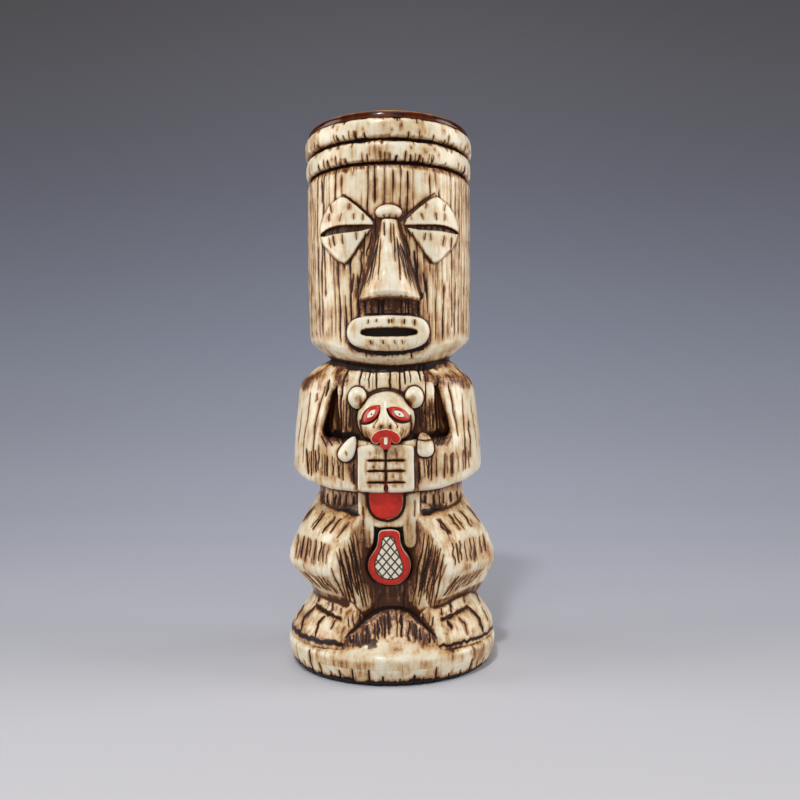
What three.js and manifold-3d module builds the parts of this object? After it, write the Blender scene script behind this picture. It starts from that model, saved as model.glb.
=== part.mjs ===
// A tiki mug: a hollow stoneware figure that squats on a round plinth and holds a small beaver.
// Millimetres, +Z up, front towards -Y. The origin is the middle of the plinth's foot.
// Left and right are the figure's own, so its left arm is on +X.
// The figure is the vessel (plinth, torso, head), the relief that is luted onto it, and the glaze inside.

import * as THREE from "three";
import { ConvexGeometry } from "three/addons/geometries/ConvexGeometry.js";
import { mergeVertices } from "three/addons/utils/BufferGeometryUtils.js";
import Module from "manifold-3d";

// ---- Driving dimensions ----
const MUG_HEIGHT = 210;
const SEAM = 0.35; // left open between neighbouring pieces
const GLAZE = 0.9; // thickness of the glaze lining
const ROUND = 40; // sides of a turned piece

const FOOT_R = 36.8; // where the plinth meets the table
const PLINTH_R = 41;
const PLINTH_H = 12;

const TORSO_R = 28;
const TORSO_DEPTH = 0.97; // the torso is a little flatter than it is wide
const NECK_Z = 118; // seam between torso and head
const NECK_R = 24;

const HEAD_R = 32.2;
const JAW_Z = 127; // where the head starts to turn in towards the neck
const CROWN_Z = 190.6; // foot of the two crown bands
const CROWN_CORE_R = 30.4;
const RIM_Z = MUG_HEIGHT - 3.2; // foot of the glazed lip
const CHIN_DROP = 4.5; // how much lower the jaw hangs at the front

const CAVITY_HEAD_R = 27.4;
const CAVITY_NECK_R = 18.6;
const CAVITY_TORSO_R = 22.4;

const BEAVER_X = -1.5; // the beaver and the hands sit a little off the middle

// ---- Materials ----
const bisque = new THREE.MeshStandardMaterial({ color: 0xd9c9a3, roughness: 0.6, metalness: 0 });
const redEnamel = new THREE.MeshStandardMaterial({ color: 0xb5281c, roughness: 0.3, metalness: 0 });
const brownGlaze = new THREE.MeshStandardMaterial({ color: 0x3a1a0a, roughness: 0.12, metalness: 0 });

// ---- Solids ----
const wasm = await Module();
wasm.setup();

/** A closed geometry as a solid that can be joined and cut. */
function solid(geometry) {
  const bare = geometry.clone();
  bare.deleteAttribute("normal");
  bare.deleteAttribute("uv");
  const merged = mergeVertices(bare, 1e-4);
  const mesh = new wasm.Mesh({
    numProp: 3,
    vertProperties: merged.attributes.position.array,
    triVerts: new Uint32Array(merged.index.array),
  });
  return new wasm.Manifold(mesh);
}

/** The largest body of a solid: a cut can leave a loose sliver. */
function largest(whole) {
  const bodies = whole.decompose();
  return bodies.reduce((best, body) => (body.volume() > best.volume() ? body : best));
}

/** The chin hangs at the front: points near the neck seam move down there. */
function hangChin(geometry) {
  const place = geometry.attributes.position;
  for (let i = 0; i < place.count; i++) {
    const [x, y, z] = [place.getX(i), place.getY(i), place.getZ(i)];
    const front = Math.max(0, -y / Math.max(Math.hypot(x, y), 1e-6));
    const near = Math.max(0, 1 - Math.abs(z - NECK_Z) / 24);
    place.setZ(i, z - CHIN_DROP * front * front * near);
  }
  return geometry;
}

/** A turned solid from its profile of [radius, height], bottom to top on the outside. */
function turned(profile, depth = 1) {
  const outline = profile.map(([radius, height]) => new THREE.Vector2(radius, height));
  const geometry = new THREE.LatheGeometry(outline, ROUND);
  geometry.rotateX(Math.PI / 2);
  geometry.scale(1, depth, 1);
  return solid(hangChin(geometry));
}

/** A prism whose outline is drawn from the front, in X and Z, and which runs from fromY forwards to toY. */
function frontPrism(shape, fromY, toY) {
  const options = { depth: fromY - toY, bevelEnabled: false, curveSegments: 8 };
  const geometry = new THREE.ExtrudeGeometry(shape, options);
  geometry.rotateX(Math.PI / 2);
  geometry.translate(0, fromY, 0);
  return solid(geometry);
}

/** The convex block round some points, swollen by grow on every side. */
function block(points, grow = 0) {
  const signs = grow ? [-grow, grow] : [0];
  const corners = [];
  for (const [x, y, z] of points)
    for (const dx of signs)
      for (const dy of signs)
        for (const dz of signs) corners.push(new THREE.Vector3(x + dx, y + dy, z + dz));
  return solid(new ConvexGeometry(corners));
}

/** An egg-shaped solid with these half sizes. */
function egg(centre, half) {
  const geometry = new THREE.SphereGeometry(1, 20, 14);
  geometry.scale(...half);
  geometry.translate(...centre);
  return solid(geometry);
}

/** A closed shape through [x, z] points with straight sides. */
function polygon(points) {
  return new THREE.Shape(points.map(([x, z]) => new THREE.Vector2(x, z)));
}

/** A closed smooth shape through [x, z] points. */
function blob(points) {
  const curve = new THREE.SplineCurve([...points, points[0]].map(([x, z]) => new THREE.Vector2(x, z)));
  return new THREE.Shape(curve.getPoints(points.length * 4).slice(0, -1));
}

/** Outline points mirrored to the other side, in the order that keeps the outline's sense. */
function mirrored(points) {
  return points.map(([x, ...rest]) => [-x, ...rest]).reverse();
}

// ---- The group and its nodes ----
const mug = new THREE.Group();

function add(name, material, body) {
  const { numProp, vertProperties, triVerts } = largest(body).getMesh();
  const places = [];
  for (let i = 0; i < vertProperties.length; i += numProp) places.push(...vertProperties.subarray(i, i + 3));
  const geometry = new THREE.BufferGeometry();
  geometry.setAttribute("position", new THREE.Float32BufferAttribute(places, 3));
  geometry.setIndex([...triVerts]);
  geometry.computeVertexNormals();
  const mesh = new THREE.Mesh(geometry, material);
  mesh.name = name;
  mug.add(mesh);
}

// ---- The vessel's outer forms, filled, and swollen by grow where they are used to cut ----
function headForm(grow = 0) {
  return turned([
    [0, NECK_Z + SEAM / 2 - grow],
    [NECK_R + grow, NECK_Z + SEAM / 2 - grow],
    [HEAD_R - 2.2 + grow, JAW_Z - 2],
    [HEAD_R - 1 + grow, JAW_Z + 1.5],
    [HEAD_R + grow, JAW_Z + 24],
    [HEAD_R + grow, CROWN_Z - 1.6],
    [HEAD_R - 0.8 + grow, CROWN_Z],
    [CROWN_CORE_R + grow, CROWN_Z + 0.1],
    [CROWN_CORE_R + grow, RIM_Z + grow],
    [0, RIM_Z + grow],
  ]);
}

function torsoForm(grow = 0) {
  const seam = SEAM / 2;
  const profile = [
    [0, PLINTH_H + SEAM - grow],
    [TORSO_R - 4 + grow, PLINTH_H + SEAM - grow],
    [TORSO_R - 2.5 + grow, 32],
    [TORSO_R - 0.5 + grow, 58],
    [TORSO_R + grow, 78],
    [TORSO_R + grow, 106],
    [TORSO_R - 1.2 + grow, 111],
    [NECK_R + 0.4 + grow, NECK_Z - seam + grow],
    [0, NECK_Z - seam + grow],
  ];
  return turned(profile, TORSO_DEPTH);
}

/** The cavity's wall from the floor up, moved inwards by inset. */
function cavityWall(inset) {
  return [
    [CAVITY_TORSO_R - inset, PLINTH_H + SEAM + inset],
    [CAVITY_TORSO_R - inset, 104],
    [CAVITY_NECK_R - inset, 113],
    [CAVITY_NECK_R - inset, NECK_Z + 2],
    [CAVITY_HEAD_R - inset, NECK_Z + 12],
    [CAVITY_HEAD_R - inset, RIM_Z],
  ];
}

/** Everything inside the cavity, and past both its ends. */
function cavityForm() {
  const wall = cavityWall(0);
  return turned([[0, PLINTH_H - 1], [CAVITY_TORSO_R, PLINTH_H - 1], ...wall, [CAVITY_HEAD_R, MUG_HEIGHT], [0, MUG_HEIGHT]]);
}

// ---- Vessel ----
function plinth() {
  const recess = 2;
  return turned([
    [0, recess],
    [FOOT_R - 8, recess],
    [FOOT_R - 7, 0],
    [FOOT_R, 0],
    [PLINTH_R - 1.6, 3],
    [PLINTH_R - 0.3, 6],
    [PLINTH_R, 8.5],
    [PLINTH_R - 0.4, 10.4],
    [PLINTH_R - 2, PLINTH_H],
    [0, PLINTH_H],
  ]);
}

function crownBand(bottomZ, topZ, radius) {
  const inner = CROWN_CORE_R + SEAM;
  return turned([
    [inner, bottomZ],
    [radius - 1, bottomZ],
    [radius, bottomZ + 1.6],
    [radius, topZ - 1.6],
    [radius - 1, topZ],
    [inner, topZ],
    [inner, bottomZ],
  ]);
}

/** The glazed lip that is drunk from. */
function rim() {
  const foot = RIM_Z + SEAM;
  const inner = CAVITY_HEAD_R - 1;
  return turned([
    [inner, foot],
    [HEAD_R - 0.2, foot],
    [HEAD_R + 0.2, foot + 1],
    [HEAD_R - 0.6, MUG_HEIGHT - 0.7],
    [HEAD_R - 1.9, MUG_HEIGHT],
    [inner + 1.2, MUG_HEIGHT],
    [inner, MUG_HEIGHT - 0.9],
    [inner, foot],
  ]);
}

/** The glaze on the inside of the cavity, as one closed skin. */
function glazeLining() {
  const back = cavityWall(SEAM);
  const face = cavityWall(SEAM + GLAZE).reverse();
  return turned([[0, back[0][1]], ...back, ...face, [0, face.at(-1)[1]]]);
}

const cavity = cavityForm();
add("plinth", bisque, plinth());
add("torso_shell", bisque, torsoForm().subtract(cavity));
add("head_drum", bisque, headForm().subtract(cavity));
add("crown_band_lower", bisque, crownBand(CROWN_Z + SEAM, 198.9, HEAD_R + 0.7));
add("crown_band_upper", bisque, crownBand(198.9 + SEAM, RIM_Z, HEAD_R + 1.2));
add("rim", brownGlaze, rim());
add("glaze_lining", brownGlaze, glazeLining());

// ---- Face: relief that follows the head's curve ----
const headCut = headForm(SEAM);

/** A relief of this outline, standing height proud of the head. */
function onHead(shape, height) {
  return frontPrism(shape, -10, -50).intersect(headForm(height)).subtract(headCut);
}

const EYE_OUTLINE = [
  [5.4, 168],
  [11.5, 173.6],
  [17.8, 178.2],
  [23.4, 173.2],
  [26.4, 165.4],
  [24, 159],
  [17.8, 153.8],
  [11.5, 160],
];
add("left_eye", bisque, onHead(polygon(EYE_OUTLINE), 1.8));
add("right_eye", bisque, onHead(polygon(mirrored(EYE_OUTLINE)), 1.8));
add("brow_knob", bisque, onHead(blob([[-5, 169.6], [5, 169.6], [3.6, 173.6], [0, 174.8], [-3.6, 173.6]]), 3.4));

const LIP_OUTLINE = [[-15, 127], [-12, 121.8], [0, 120.6], [12, 121.8], [15, 127], [11.5, 132.6], [0, 133.6], [-11.5, 132.6]];
const LIP_SLOT = [[-10, 126.4], [10, 126.4], [10, 129], [-10, 129]];
const slot = frontPrism(polygon(LIP_SLOT), -10, -50).subtract(headForm(1));
add("mouth", bisque, onHead(blob(LIP_OUTLINE), 3.2).subtract(slot));

const NOSE = [
  [-2.8, -33, 168.6],
  [2.8, -33, 168.6],
  [-4.6, -40.8, 140],
  [4.6, -40.8, 140],
  [-4, -39.6, 138.2],
  [4, -39.6, 138.2],
  [-11.6, -30, 137.8],
  [11.6, -30, 137.8],
  [-11.2, -31, 141.5],
  [11.2, -31, 141.5],
  [-3.4, -24, 168.6],
  [3.4, -24, 168.6],
  [-11, -24, 138],
  [11, -24, 138],
];
add("nose", bisque, block(NOSE).subtract(headCut));

// ---- Arms, hands and thumbs: a sleeve round the torso ----
const torsoCut = torsoForm(SEAM);
const HAND_TOP = 88.6;
const HAND_FOOT = 68.2;
const HAND_HALF = 10.6; // from the line between the hands to the wrist

/** The envelope of the arms: wider at the elbows than at the shoulders, and fading into the back. */
function armForm(grow = 0) {
  const profile = [
    [0, 60],
    [34 + grow, 60],
    [37.4 + grow, 72],
    [38.4 + grow, 77],
    [35.6 + grow, 110],
    [24 + grow, 119],
    [0, 119],
  ];
  return turned(profile, 0.82).translate(0, -3.5, 0);
}

const ARM_OUTLINE = [
  [HAND_HALF + 0.4, HAND_FOOT + 1],
  [36.5, 73.2],
  [40, 76],
  [40, 109],
  [34.5, 111.5],
  [24.5, 117.2],
  [21.6, 110],
  [22.4, 91],
  [HAND_HALF + 0.4, HAND_TOP + 0.6],
];
const ARM_BACK_OUTLINE = [
  [18, 80],
  [40, 76],
  [40, 109],
  [34.5, 111.5],
  [24.5, 117.2],
  [18, 110],
];
const shift = (points, dx) => points.map(([x, z]) => [x + dx, z]);

/** One arm, filled: the forearm only in front, the upper arm also round the back. */
function armSolid(sign, grow = 0) {
  const outline = (points) => polygon(shift(sign > 0 ? points : mirrored(points), BEAVER_X));
  const front = frontPrism(outline(ARM_OUTLINE), 6 + grow, -50);
  const back = frontPrism(outline(ARM_BACK_OUTLINE), 40, 5);
  return front.add(back).intersect(armForm(grow));
}
add("left_arm", bisque, armSolid(1).subtract(torsoCut).subtract(headCut));
add("right_arm", bisque, armSolid(-1).subtract(torsoCut).subtract(headCut));

const HAND_OUTLINE = [
  [SEAM / 2, HAND_FOOT],
  [HAND_HALF, HAND_FOOT + 1],
  [HAND_HALF, HAND_TOP],
  [SEAM / 2, HAND_TOP],
];
const hand = (outline) => frontPrism(polygon(outline), -10, -50).intersect(armForm(1.2)).subtract(torsoCut);
add("left_hand", bisque, hand(shift(HAND_OUTLINE, BEAVER_X)));
add("right_hand", bisque, hand(shift(mirrored(HAND_OUTLINE), BEAVER_X)));

const THUMB_OUTLINE = [[11.4, 82.4], [14, 80.4], [17.4, 82], [17, 86.8], [14, 90.4], [11.6, 88.2]];
const armCut = armForm(SEAM);
const thumb = (outline) => frontPrism(blob(outline), -10, -50).intersect(armForm(2)).subtract(armCut);
add("left_thumb", bisque, thumb(shift(THUMB_OUTLINE, BEAVER_X)));
add("right_thumb", bisque, thumb(shift(mirrored(THUMB_OUTLINE), BEAVER_X)));

// ---- Legs, feet and the mound between them ----
const ANKLE_Z = 27;
const THIGH = [
  [12, -25, 62],
  [13.5, -10, 66],
  [27.5, -6, 66.5],
  [29, 12, 62],
  [14, 26, 58],
  [31, 18, 47],
  [8, 29.5, 48],
  [38.6, -10, 45.5],
  [36.5, 8, 45],
  [38.6, -13, 42],
  [21, -33.5, 50],
  [22.8, -33.5, 39.6],
  [30, -27, 38],
  [13, -26.5, 56],
  [14, -20, 40],
  [26, 23, 40],
  [7, 29, 38],
];
const SHIN = [
  [22.6, -32.5, 40.5],
  [37.4, -14, 43],
  [36, 8, 44],
  [26, 23, 40],
  [7, 29, 40],
  [12, -24, 44],
  [15.6, -27, ANKLE_Z + SEAM],
  [31.4, -14, ANKLE_Z + SEAM],
  [31.6, 10, ANKLE_Z + SEAM],
  [22, 23, ANKLE_Z + SEAM],
  [6, 28, ANKLE_Z + SEAM],
  [12, -22, ANKLE_Z + SEAM],
];
const FOOT = [
  [15.8, -27, ANKLE_Z],
  [31.6, -13.5, ANKLE_Z],
  [31.6, 10, ANKLE_Z],
  [22, 23, ANKLE_Z],
  [6, 28, ANKLE_Z],
  [12, -22, ANKLE_Z],
  [22, -31.8, 19],
  [30.8, -25.4, 18.6],
  [38.6, -7, 19],
  [37.8, 4, 19],
  [21.4, -33, 14],
  [31.4, -25.2, 14],
  [39.6, -6, 14],
  [38.6, 4, 14],
  [20.6, -31.6, PLINTH_H + SEAM],
  [30.6, -24.6, PLINTH_H + SEAM],
  [38.2, -6, PLINTH_H + SEAM],
  [37.4, 4, PLINTH_H + SEAM],
  [27, 25, PLINTH_H + SEAM],
  [6, 32, PLINTH_H + SEAM],
  [9, -20, PLINTH_H + SEAM],
];
const side = (points, sign) => points.map(([x, y, z]) => [sign * x, y, z]);
const legForm = (sign, grow = 0) => block(side(THIGH, sign), grow).add(block(side(SHIN, sign), grow));
for (const [name, sign] of [["left", 1], ["right", -1]]) {
  const underArm = armSolid(sign, SEAM).translate(0, 0, -SEAM);
  add(`${name}_leg`, bisque, legForm(sign).subtract(torsoCut).subtract(underArm));
  add(`${name}_foot`, bisque, block(side(FOOT, sign)).subtract(torsoCut));
}

const MOUND = [
  [-22, -20, PLINTH_H + SEAM],
  [22, -20, PLINTH_H + SEAM],
  [-16, -33, PLINTH_H + SEAM],
  [16, -33, PLINTH_H + SEAM],
  [0, -37.5, PLINTH_H + SEAM],
  [-4.5, -22, 22.6],
  [4.5, -22, 22.6],
  [0, -26, 21.4],
  [-4.5, -14, 23],
  [4.5, -14, 23],
];
const feetCut = block(side(FOOT, 1), SEAM).add(block(side(FOOT, -1), SEAM));
add("mound", bisque, block(MOUND).subtract(feetCut).subtract(torsoCut));

// ---- Beaver ----
const SKULL_CENTRE = [BEAVER_X, -28, 98.4];
const SKULL_HALF = [10.2, 9.4, 9.6];
const skull = (grow) => egg(SKULL_CENTRE, SKULL_HALF.map((half) => half + grow));
const aboveHands = frontPrism(polygon([[-20, HAND_TOP + SEAM], [20, HAND_TOP + SEAM], [20, 120], [-20, 120]]), 0, -50);
add("beaver_head", bisque, skull(0).intersect(aboveHands).subtract(torsoCut));

/** A thin painted relief of this outline on the beaver's face. */
function onSkull(shape, height) {
  return frontPrism(shape, -26, -50).intersect(skull(height)).subtract(skull(SEAM)).intersect(aboveHands);
}

function ear(x) {
  const shape = new THREE.Shape().absarc(x, 104.2, 3.2, 0, 2 * Math.PI);
  return frontPrism(shape, -10, -31.5).subtract(torsoCut).subtract(skull(SEAM));
}
add("beaver_left_ear", bisque, ear(BEAVER_X + 10));
add("beaver_right_ear", bisque, ear(BEAVER_X - 10));

const BEAVER_EYE = [[1.9, 101.2], [4.2, 102], [7.4, 100], [8, 97.6], [5, 97.6], [3, 99]];
add("beaver_left_eye", redEnamel, onSkull(blob(shift(BEAVER_EYE, BEAVER_X)), 1));
add("beaver_right_eye", redEnamel, onSkull(blob(shift(mirrored(BEAVER_EYE), BEAVER_X)), 1));

const BEAVER_LIPS = [[-5.4, 90.4], [-3.4, 90.6], [0, 93], [3.4, 90.6], [5.4, 90.4], [4, 93.4], [0, 94.8], [-4, 93.4]];
add("beaver_lips", redEnamel, onSkull(blob(shift(BEAVER_LIPS, BEAVER_X)), 1.9));

const TONGUE = [[-1.6, 86.4], [0, 85.4], [1.6, 86.4], [1.6, 91], [-1.6, 91]];
const lipsCut = frontPrism(blob(shift(BEAVER_LIPS, BEAVER_X)), -20, -50);
const tongueForm = frontPrism(polygon(shift(TONGUE, BEAVER_X)), -33.2, -37.4);
const handsFront = frontPrism(polygon([[-20, 60], [20, 60], [20, HAND_TOP], [-20, HAND_TOP]]), 0, -50);
const tongueBed = handsFront.intersect(armForm(1.2 + SEAM)).add(skull(SEAM));
add("beaver_tongue", redEnamel, tongueForm.subtract(tongueBed).subtract(lipsCut));

/** A relief on the torso under the hands, from back to front millimetres proud of it. */
function onTorso(shape, back, front) {
  const belowHands = frontPrism(polygon([[-20, 20], [20, 20], [20, HAND_FOOT - SEAM], [-20, HAND_FOOT - SEAM]]), 0, -50);
  return frontPrism(shape, -10, -50).intersect(belowHands).intersect(torsoForm(front)).subtract(torsoForm(back));
}

const legsCut = legForm(1, SEAM).add(legForm(-1, SEAM));
const BEAVER_TRUNK = [[-11, 70], [-11, 60], [-7.4, 56.6], [-3, 54.8], [3, 54.8], [7.4, 56.6], [11, 60], [11, 70]];
add("beaver_trunk", bisque, onTorso(polygon(shift(BEAVER_TRUNK, BEAVER_X)), SEAM, 4).subtract(legsCut));
const BELLY = [[-7.2, 70], [-7, 62.4], [-4.6, 58.6], [0, 57], [4.6, 58.6], [7, 62.4], [7.2, 70]];
add("beaver_belly", redEnamel, onTorso(polygon(shift(BELLY, BEAVER_X)), 4 + SEAM, 5.2));

const BEAVER_LEG = [[6.4, 55.4], [10.9, 59], [10.9, 48], [8.8, 46.4], [6.4, 47.4]];
const beaverLeg = (outline) => onTorso(polygon(shift(outline, BEAVER_X)), SEAM, 3.2).subtract(legsCut);
add("beaver_left_leg", bisque, beaverLeg(BEAVER_LEG));
add("beaver_right_leg", bisque, beaverLeg(mirrored(BEAVER_LEG)));

const TAIL = [[-3.6, 54], [-3.8, 49], [-7.4, 43.4], [-8, 38.4], [-5, 34.8], [0, 33.4], [5, 34.8], [8, 38.4], [7.4, 43.4], [3.8, 49], [3.6, 54]];
add("beaver_tail", redEnamel, onTorso(polygon(shift(TAIL, BEAVER_X + 0.6)), SEAM, 4));

export default mug;
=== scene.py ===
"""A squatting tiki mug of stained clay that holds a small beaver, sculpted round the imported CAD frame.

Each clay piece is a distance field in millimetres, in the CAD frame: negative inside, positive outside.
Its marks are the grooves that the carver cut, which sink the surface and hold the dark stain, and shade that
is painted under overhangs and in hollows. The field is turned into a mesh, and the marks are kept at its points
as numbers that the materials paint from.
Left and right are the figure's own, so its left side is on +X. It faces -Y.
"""

import itertools
import math
from concurrent.futures import ThreadPoolExecutor

import bpy
import numpy as np
import openvdb
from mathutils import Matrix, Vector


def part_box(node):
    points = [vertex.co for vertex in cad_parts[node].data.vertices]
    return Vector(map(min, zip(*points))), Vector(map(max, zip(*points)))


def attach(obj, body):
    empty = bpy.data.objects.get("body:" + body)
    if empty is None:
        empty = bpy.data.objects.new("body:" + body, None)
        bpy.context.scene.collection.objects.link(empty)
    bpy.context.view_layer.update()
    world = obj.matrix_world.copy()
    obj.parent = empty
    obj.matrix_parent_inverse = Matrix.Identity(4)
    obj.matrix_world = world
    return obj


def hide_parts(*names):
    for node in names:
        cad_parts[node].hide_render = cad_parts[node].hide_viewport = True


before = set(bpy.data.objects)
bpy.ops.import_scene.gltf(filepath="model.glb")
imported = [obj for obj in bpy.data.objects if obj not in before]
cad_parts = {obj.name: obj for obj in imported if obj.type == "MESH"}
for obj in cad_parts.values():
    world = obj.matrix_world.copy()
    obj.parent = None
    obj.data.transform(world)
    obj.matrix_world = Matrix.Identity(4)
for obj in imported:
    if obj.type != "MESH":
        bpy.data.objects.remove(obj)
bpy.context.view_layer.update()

MM = 0.001  # one millimetre in metres
COARSE = 1

# ---- Driving dimensions, in millimetres, from the frame ----
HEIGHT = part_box("rim")[1][2] / MM
PLINTH_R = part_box("plinth")[1][0] / MM
PLINTH_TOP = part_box("plinth")[1][2] / MM
HEAD_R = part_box("head_drum")[1][0] / MM + 0.5
CROWN_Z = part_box("crown_band_lower")[0][2] / MM
BAND_SEAM_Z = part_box("crown_band_upper")[0][2] / MM
RIM_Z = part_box("rim")[0][2] / MM
BEAVER_X = -1.4  # the beaver and the hands sit a little off the middle
ARM_X = -1.3  # and so do the arms


# ---- Distance fields ----
def ramp(low, high, value):
    """0 at low, 1 at high, and smooth between them."""
    t = np.clip((value - low) / (high - low), 0, 1)
    return t * t * (3 - 2 * t)


def soft_min(a, b, blend):
    """The union of two fields, with a fillet."""
    h = np.clip(0.5 + 0.5 * (b - a) / blend, 0, 1)
    return b + (a - b) * h - blend * h * (1 - h)


def soft_max(a, b, blend):
    """The overlap of two fields, with a rounded edge."""
    return -soft_min(-a, -b, blend)


def egg(x, y, z, centre, half):
    """An ellipsoid with these half sizes."""
    offsets = [(v - c, h) for v, c, h in zip((x, y, z), centre, half)]
    near = np.sqrt(sum((v / h) ** 2 for v, h in offsets))
    slope = np.sqrt(sum((v / h**2) ** 2 for v, h in offsets))
    return near * (near - 1) / np.maximum(slope, 1e-6)


def rod(x, y, z, start, end, start_r, end_r):
    """A rounded rod from start to end."""
    line = np.subtract(end, start)
    offset = [x - start[0], y - start[1], z - start[2]]
    t = np.clip(sum(o * d for o, d in zip(offset, line)) / (line @ line), 0, 1)
    gap = np.sqrt(sum((o - d * t) ** 2 for o, d in zip(offset, line)))
    return gap - start_r - (end_r - start_r) * t


def outline(u, v, points):
    """A closed outline in the plane of u and v."""
    u, v = np.broadcast_arrays(u, v)
    best = np.full(u.shape, 1e9)
    inside = np.zeros(u.shape, bool)
    for (u0, v0), (u1, v1) in zip(points, points[1:] + points[:1]):
        du, dv = u1 - u0, v1 - v0
        t = np.clip(((u - u0) * du + (v - v0) * dv) / (du * du + dv * dv), 0, 1)
        best = np.minimum(best, (u - u0 - du * t) ** 2 + (v - v0 - dv * t) ** 2)
        if dv:
            inside ^= ((v0 > v) != (v1 > v)) & (u < u0 + (v - v0) * du / dv)
    return np.sqrt(best) * np.where(inside, -1, 1)


def rounded(points, times=2):
    """The outline with its corners cut off, again and again."""
    for _ in range(times):
        cut = []
        for (u0, v0), (u1, v1) in zip(points, points[1:] + points[:1]):
            cut.append((u0 * 0.75 + u1 * 0.25, v0 * 0.75 + v1 * 0.25))
            cut.append((u0 * 0.25 + u1 * 0.75, v0 * 0.25 + v1 * 0.75))
        points = cut
    return points


def moved(points, du=0.0, flip=1):
    """The outline mirrored in u if flip is -1, and then moved by du."""
    return [(u * flip + du, v) for u, v in points]


def path(u, v, points):
    """How far a place is from an open line of straight stretches."""
    best = np.full(np.broadcast(u, v).shape, 1e9)
    for (u0, v0), (u1, v1) in zip(points, points[1:]):
        du, dv = u1 - u0, v1 - v0
        t = np.clip(((u - u0) * du + (v - v0) * dv) / (du * du + dv * dv), 0, 1)
        best = np.minimum(best, (u - u0 - du * t) ** 2 + (v - v0 - dv * t) ** 2)
    return np.sqrt(best)


def facet(x, y, z, corners, inside):
    """A flat facet through three corners, negative on the side of the point inside."""
    a, b, c = (np.array(p, float) for p in corners)
    normal = np.cross(b - a, c - a)
    normal /= np.linalg.norm(normal)
    if normal @ (np.array(inside) - a) > 0:
        normal = -normal
    return (x - a[0]) * normal[0] + (y - a[1]) * normal[1] + (z - a[2]) * normal[2]


def turned(radius, z, profile):
    """A solid of revolution from its (height, radius) profile, without its flat ends."""
    heights, radii = zip(*profile)
    slope = np.interp(z + 0.4, heights, radii) - np.interp(z - 0.4, heights, radii)
    return (radius - np.interp(z, heights, radii)) / np.sqrt(1 + (slope / 0.8) ** 2)


def between(z, low, high):
    """A level slab."""
    return np.maximum(low - z, z - high)


LATTICE = np.random.default_rng(7).random((32, 32, 32)) * 2 - 1


def noise(x, y, z, size):
    """Smooth noise from -1 to 1, in lumps about size millimetres across."""
    x, y, z = np.broadcast_arrays(x, y, z)
    cells = [np.floor(v / size).astype(int) for v in (x, y, z)]
    parts = [v / size - c for v, c in zip((x, y, z), cells)]
    parts = [p * p * (3 - 2 * p) for p in parts]
    total = 0
    for corner in itertools.product((0, 1), repeat=3):
        weight = 1
        for p, side in zip(parts, corner):
            weight = weight * (p if side else 1 - p)
        total = total + weight * LATTICE[tuple((c + side) % 32 for c, side in zip(cells, corner))]
    return total


# ---- Marks: grooves and their stain ----
GIRTH = 34.0  # radius at which an angle round the figure is measured as a length


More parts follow.
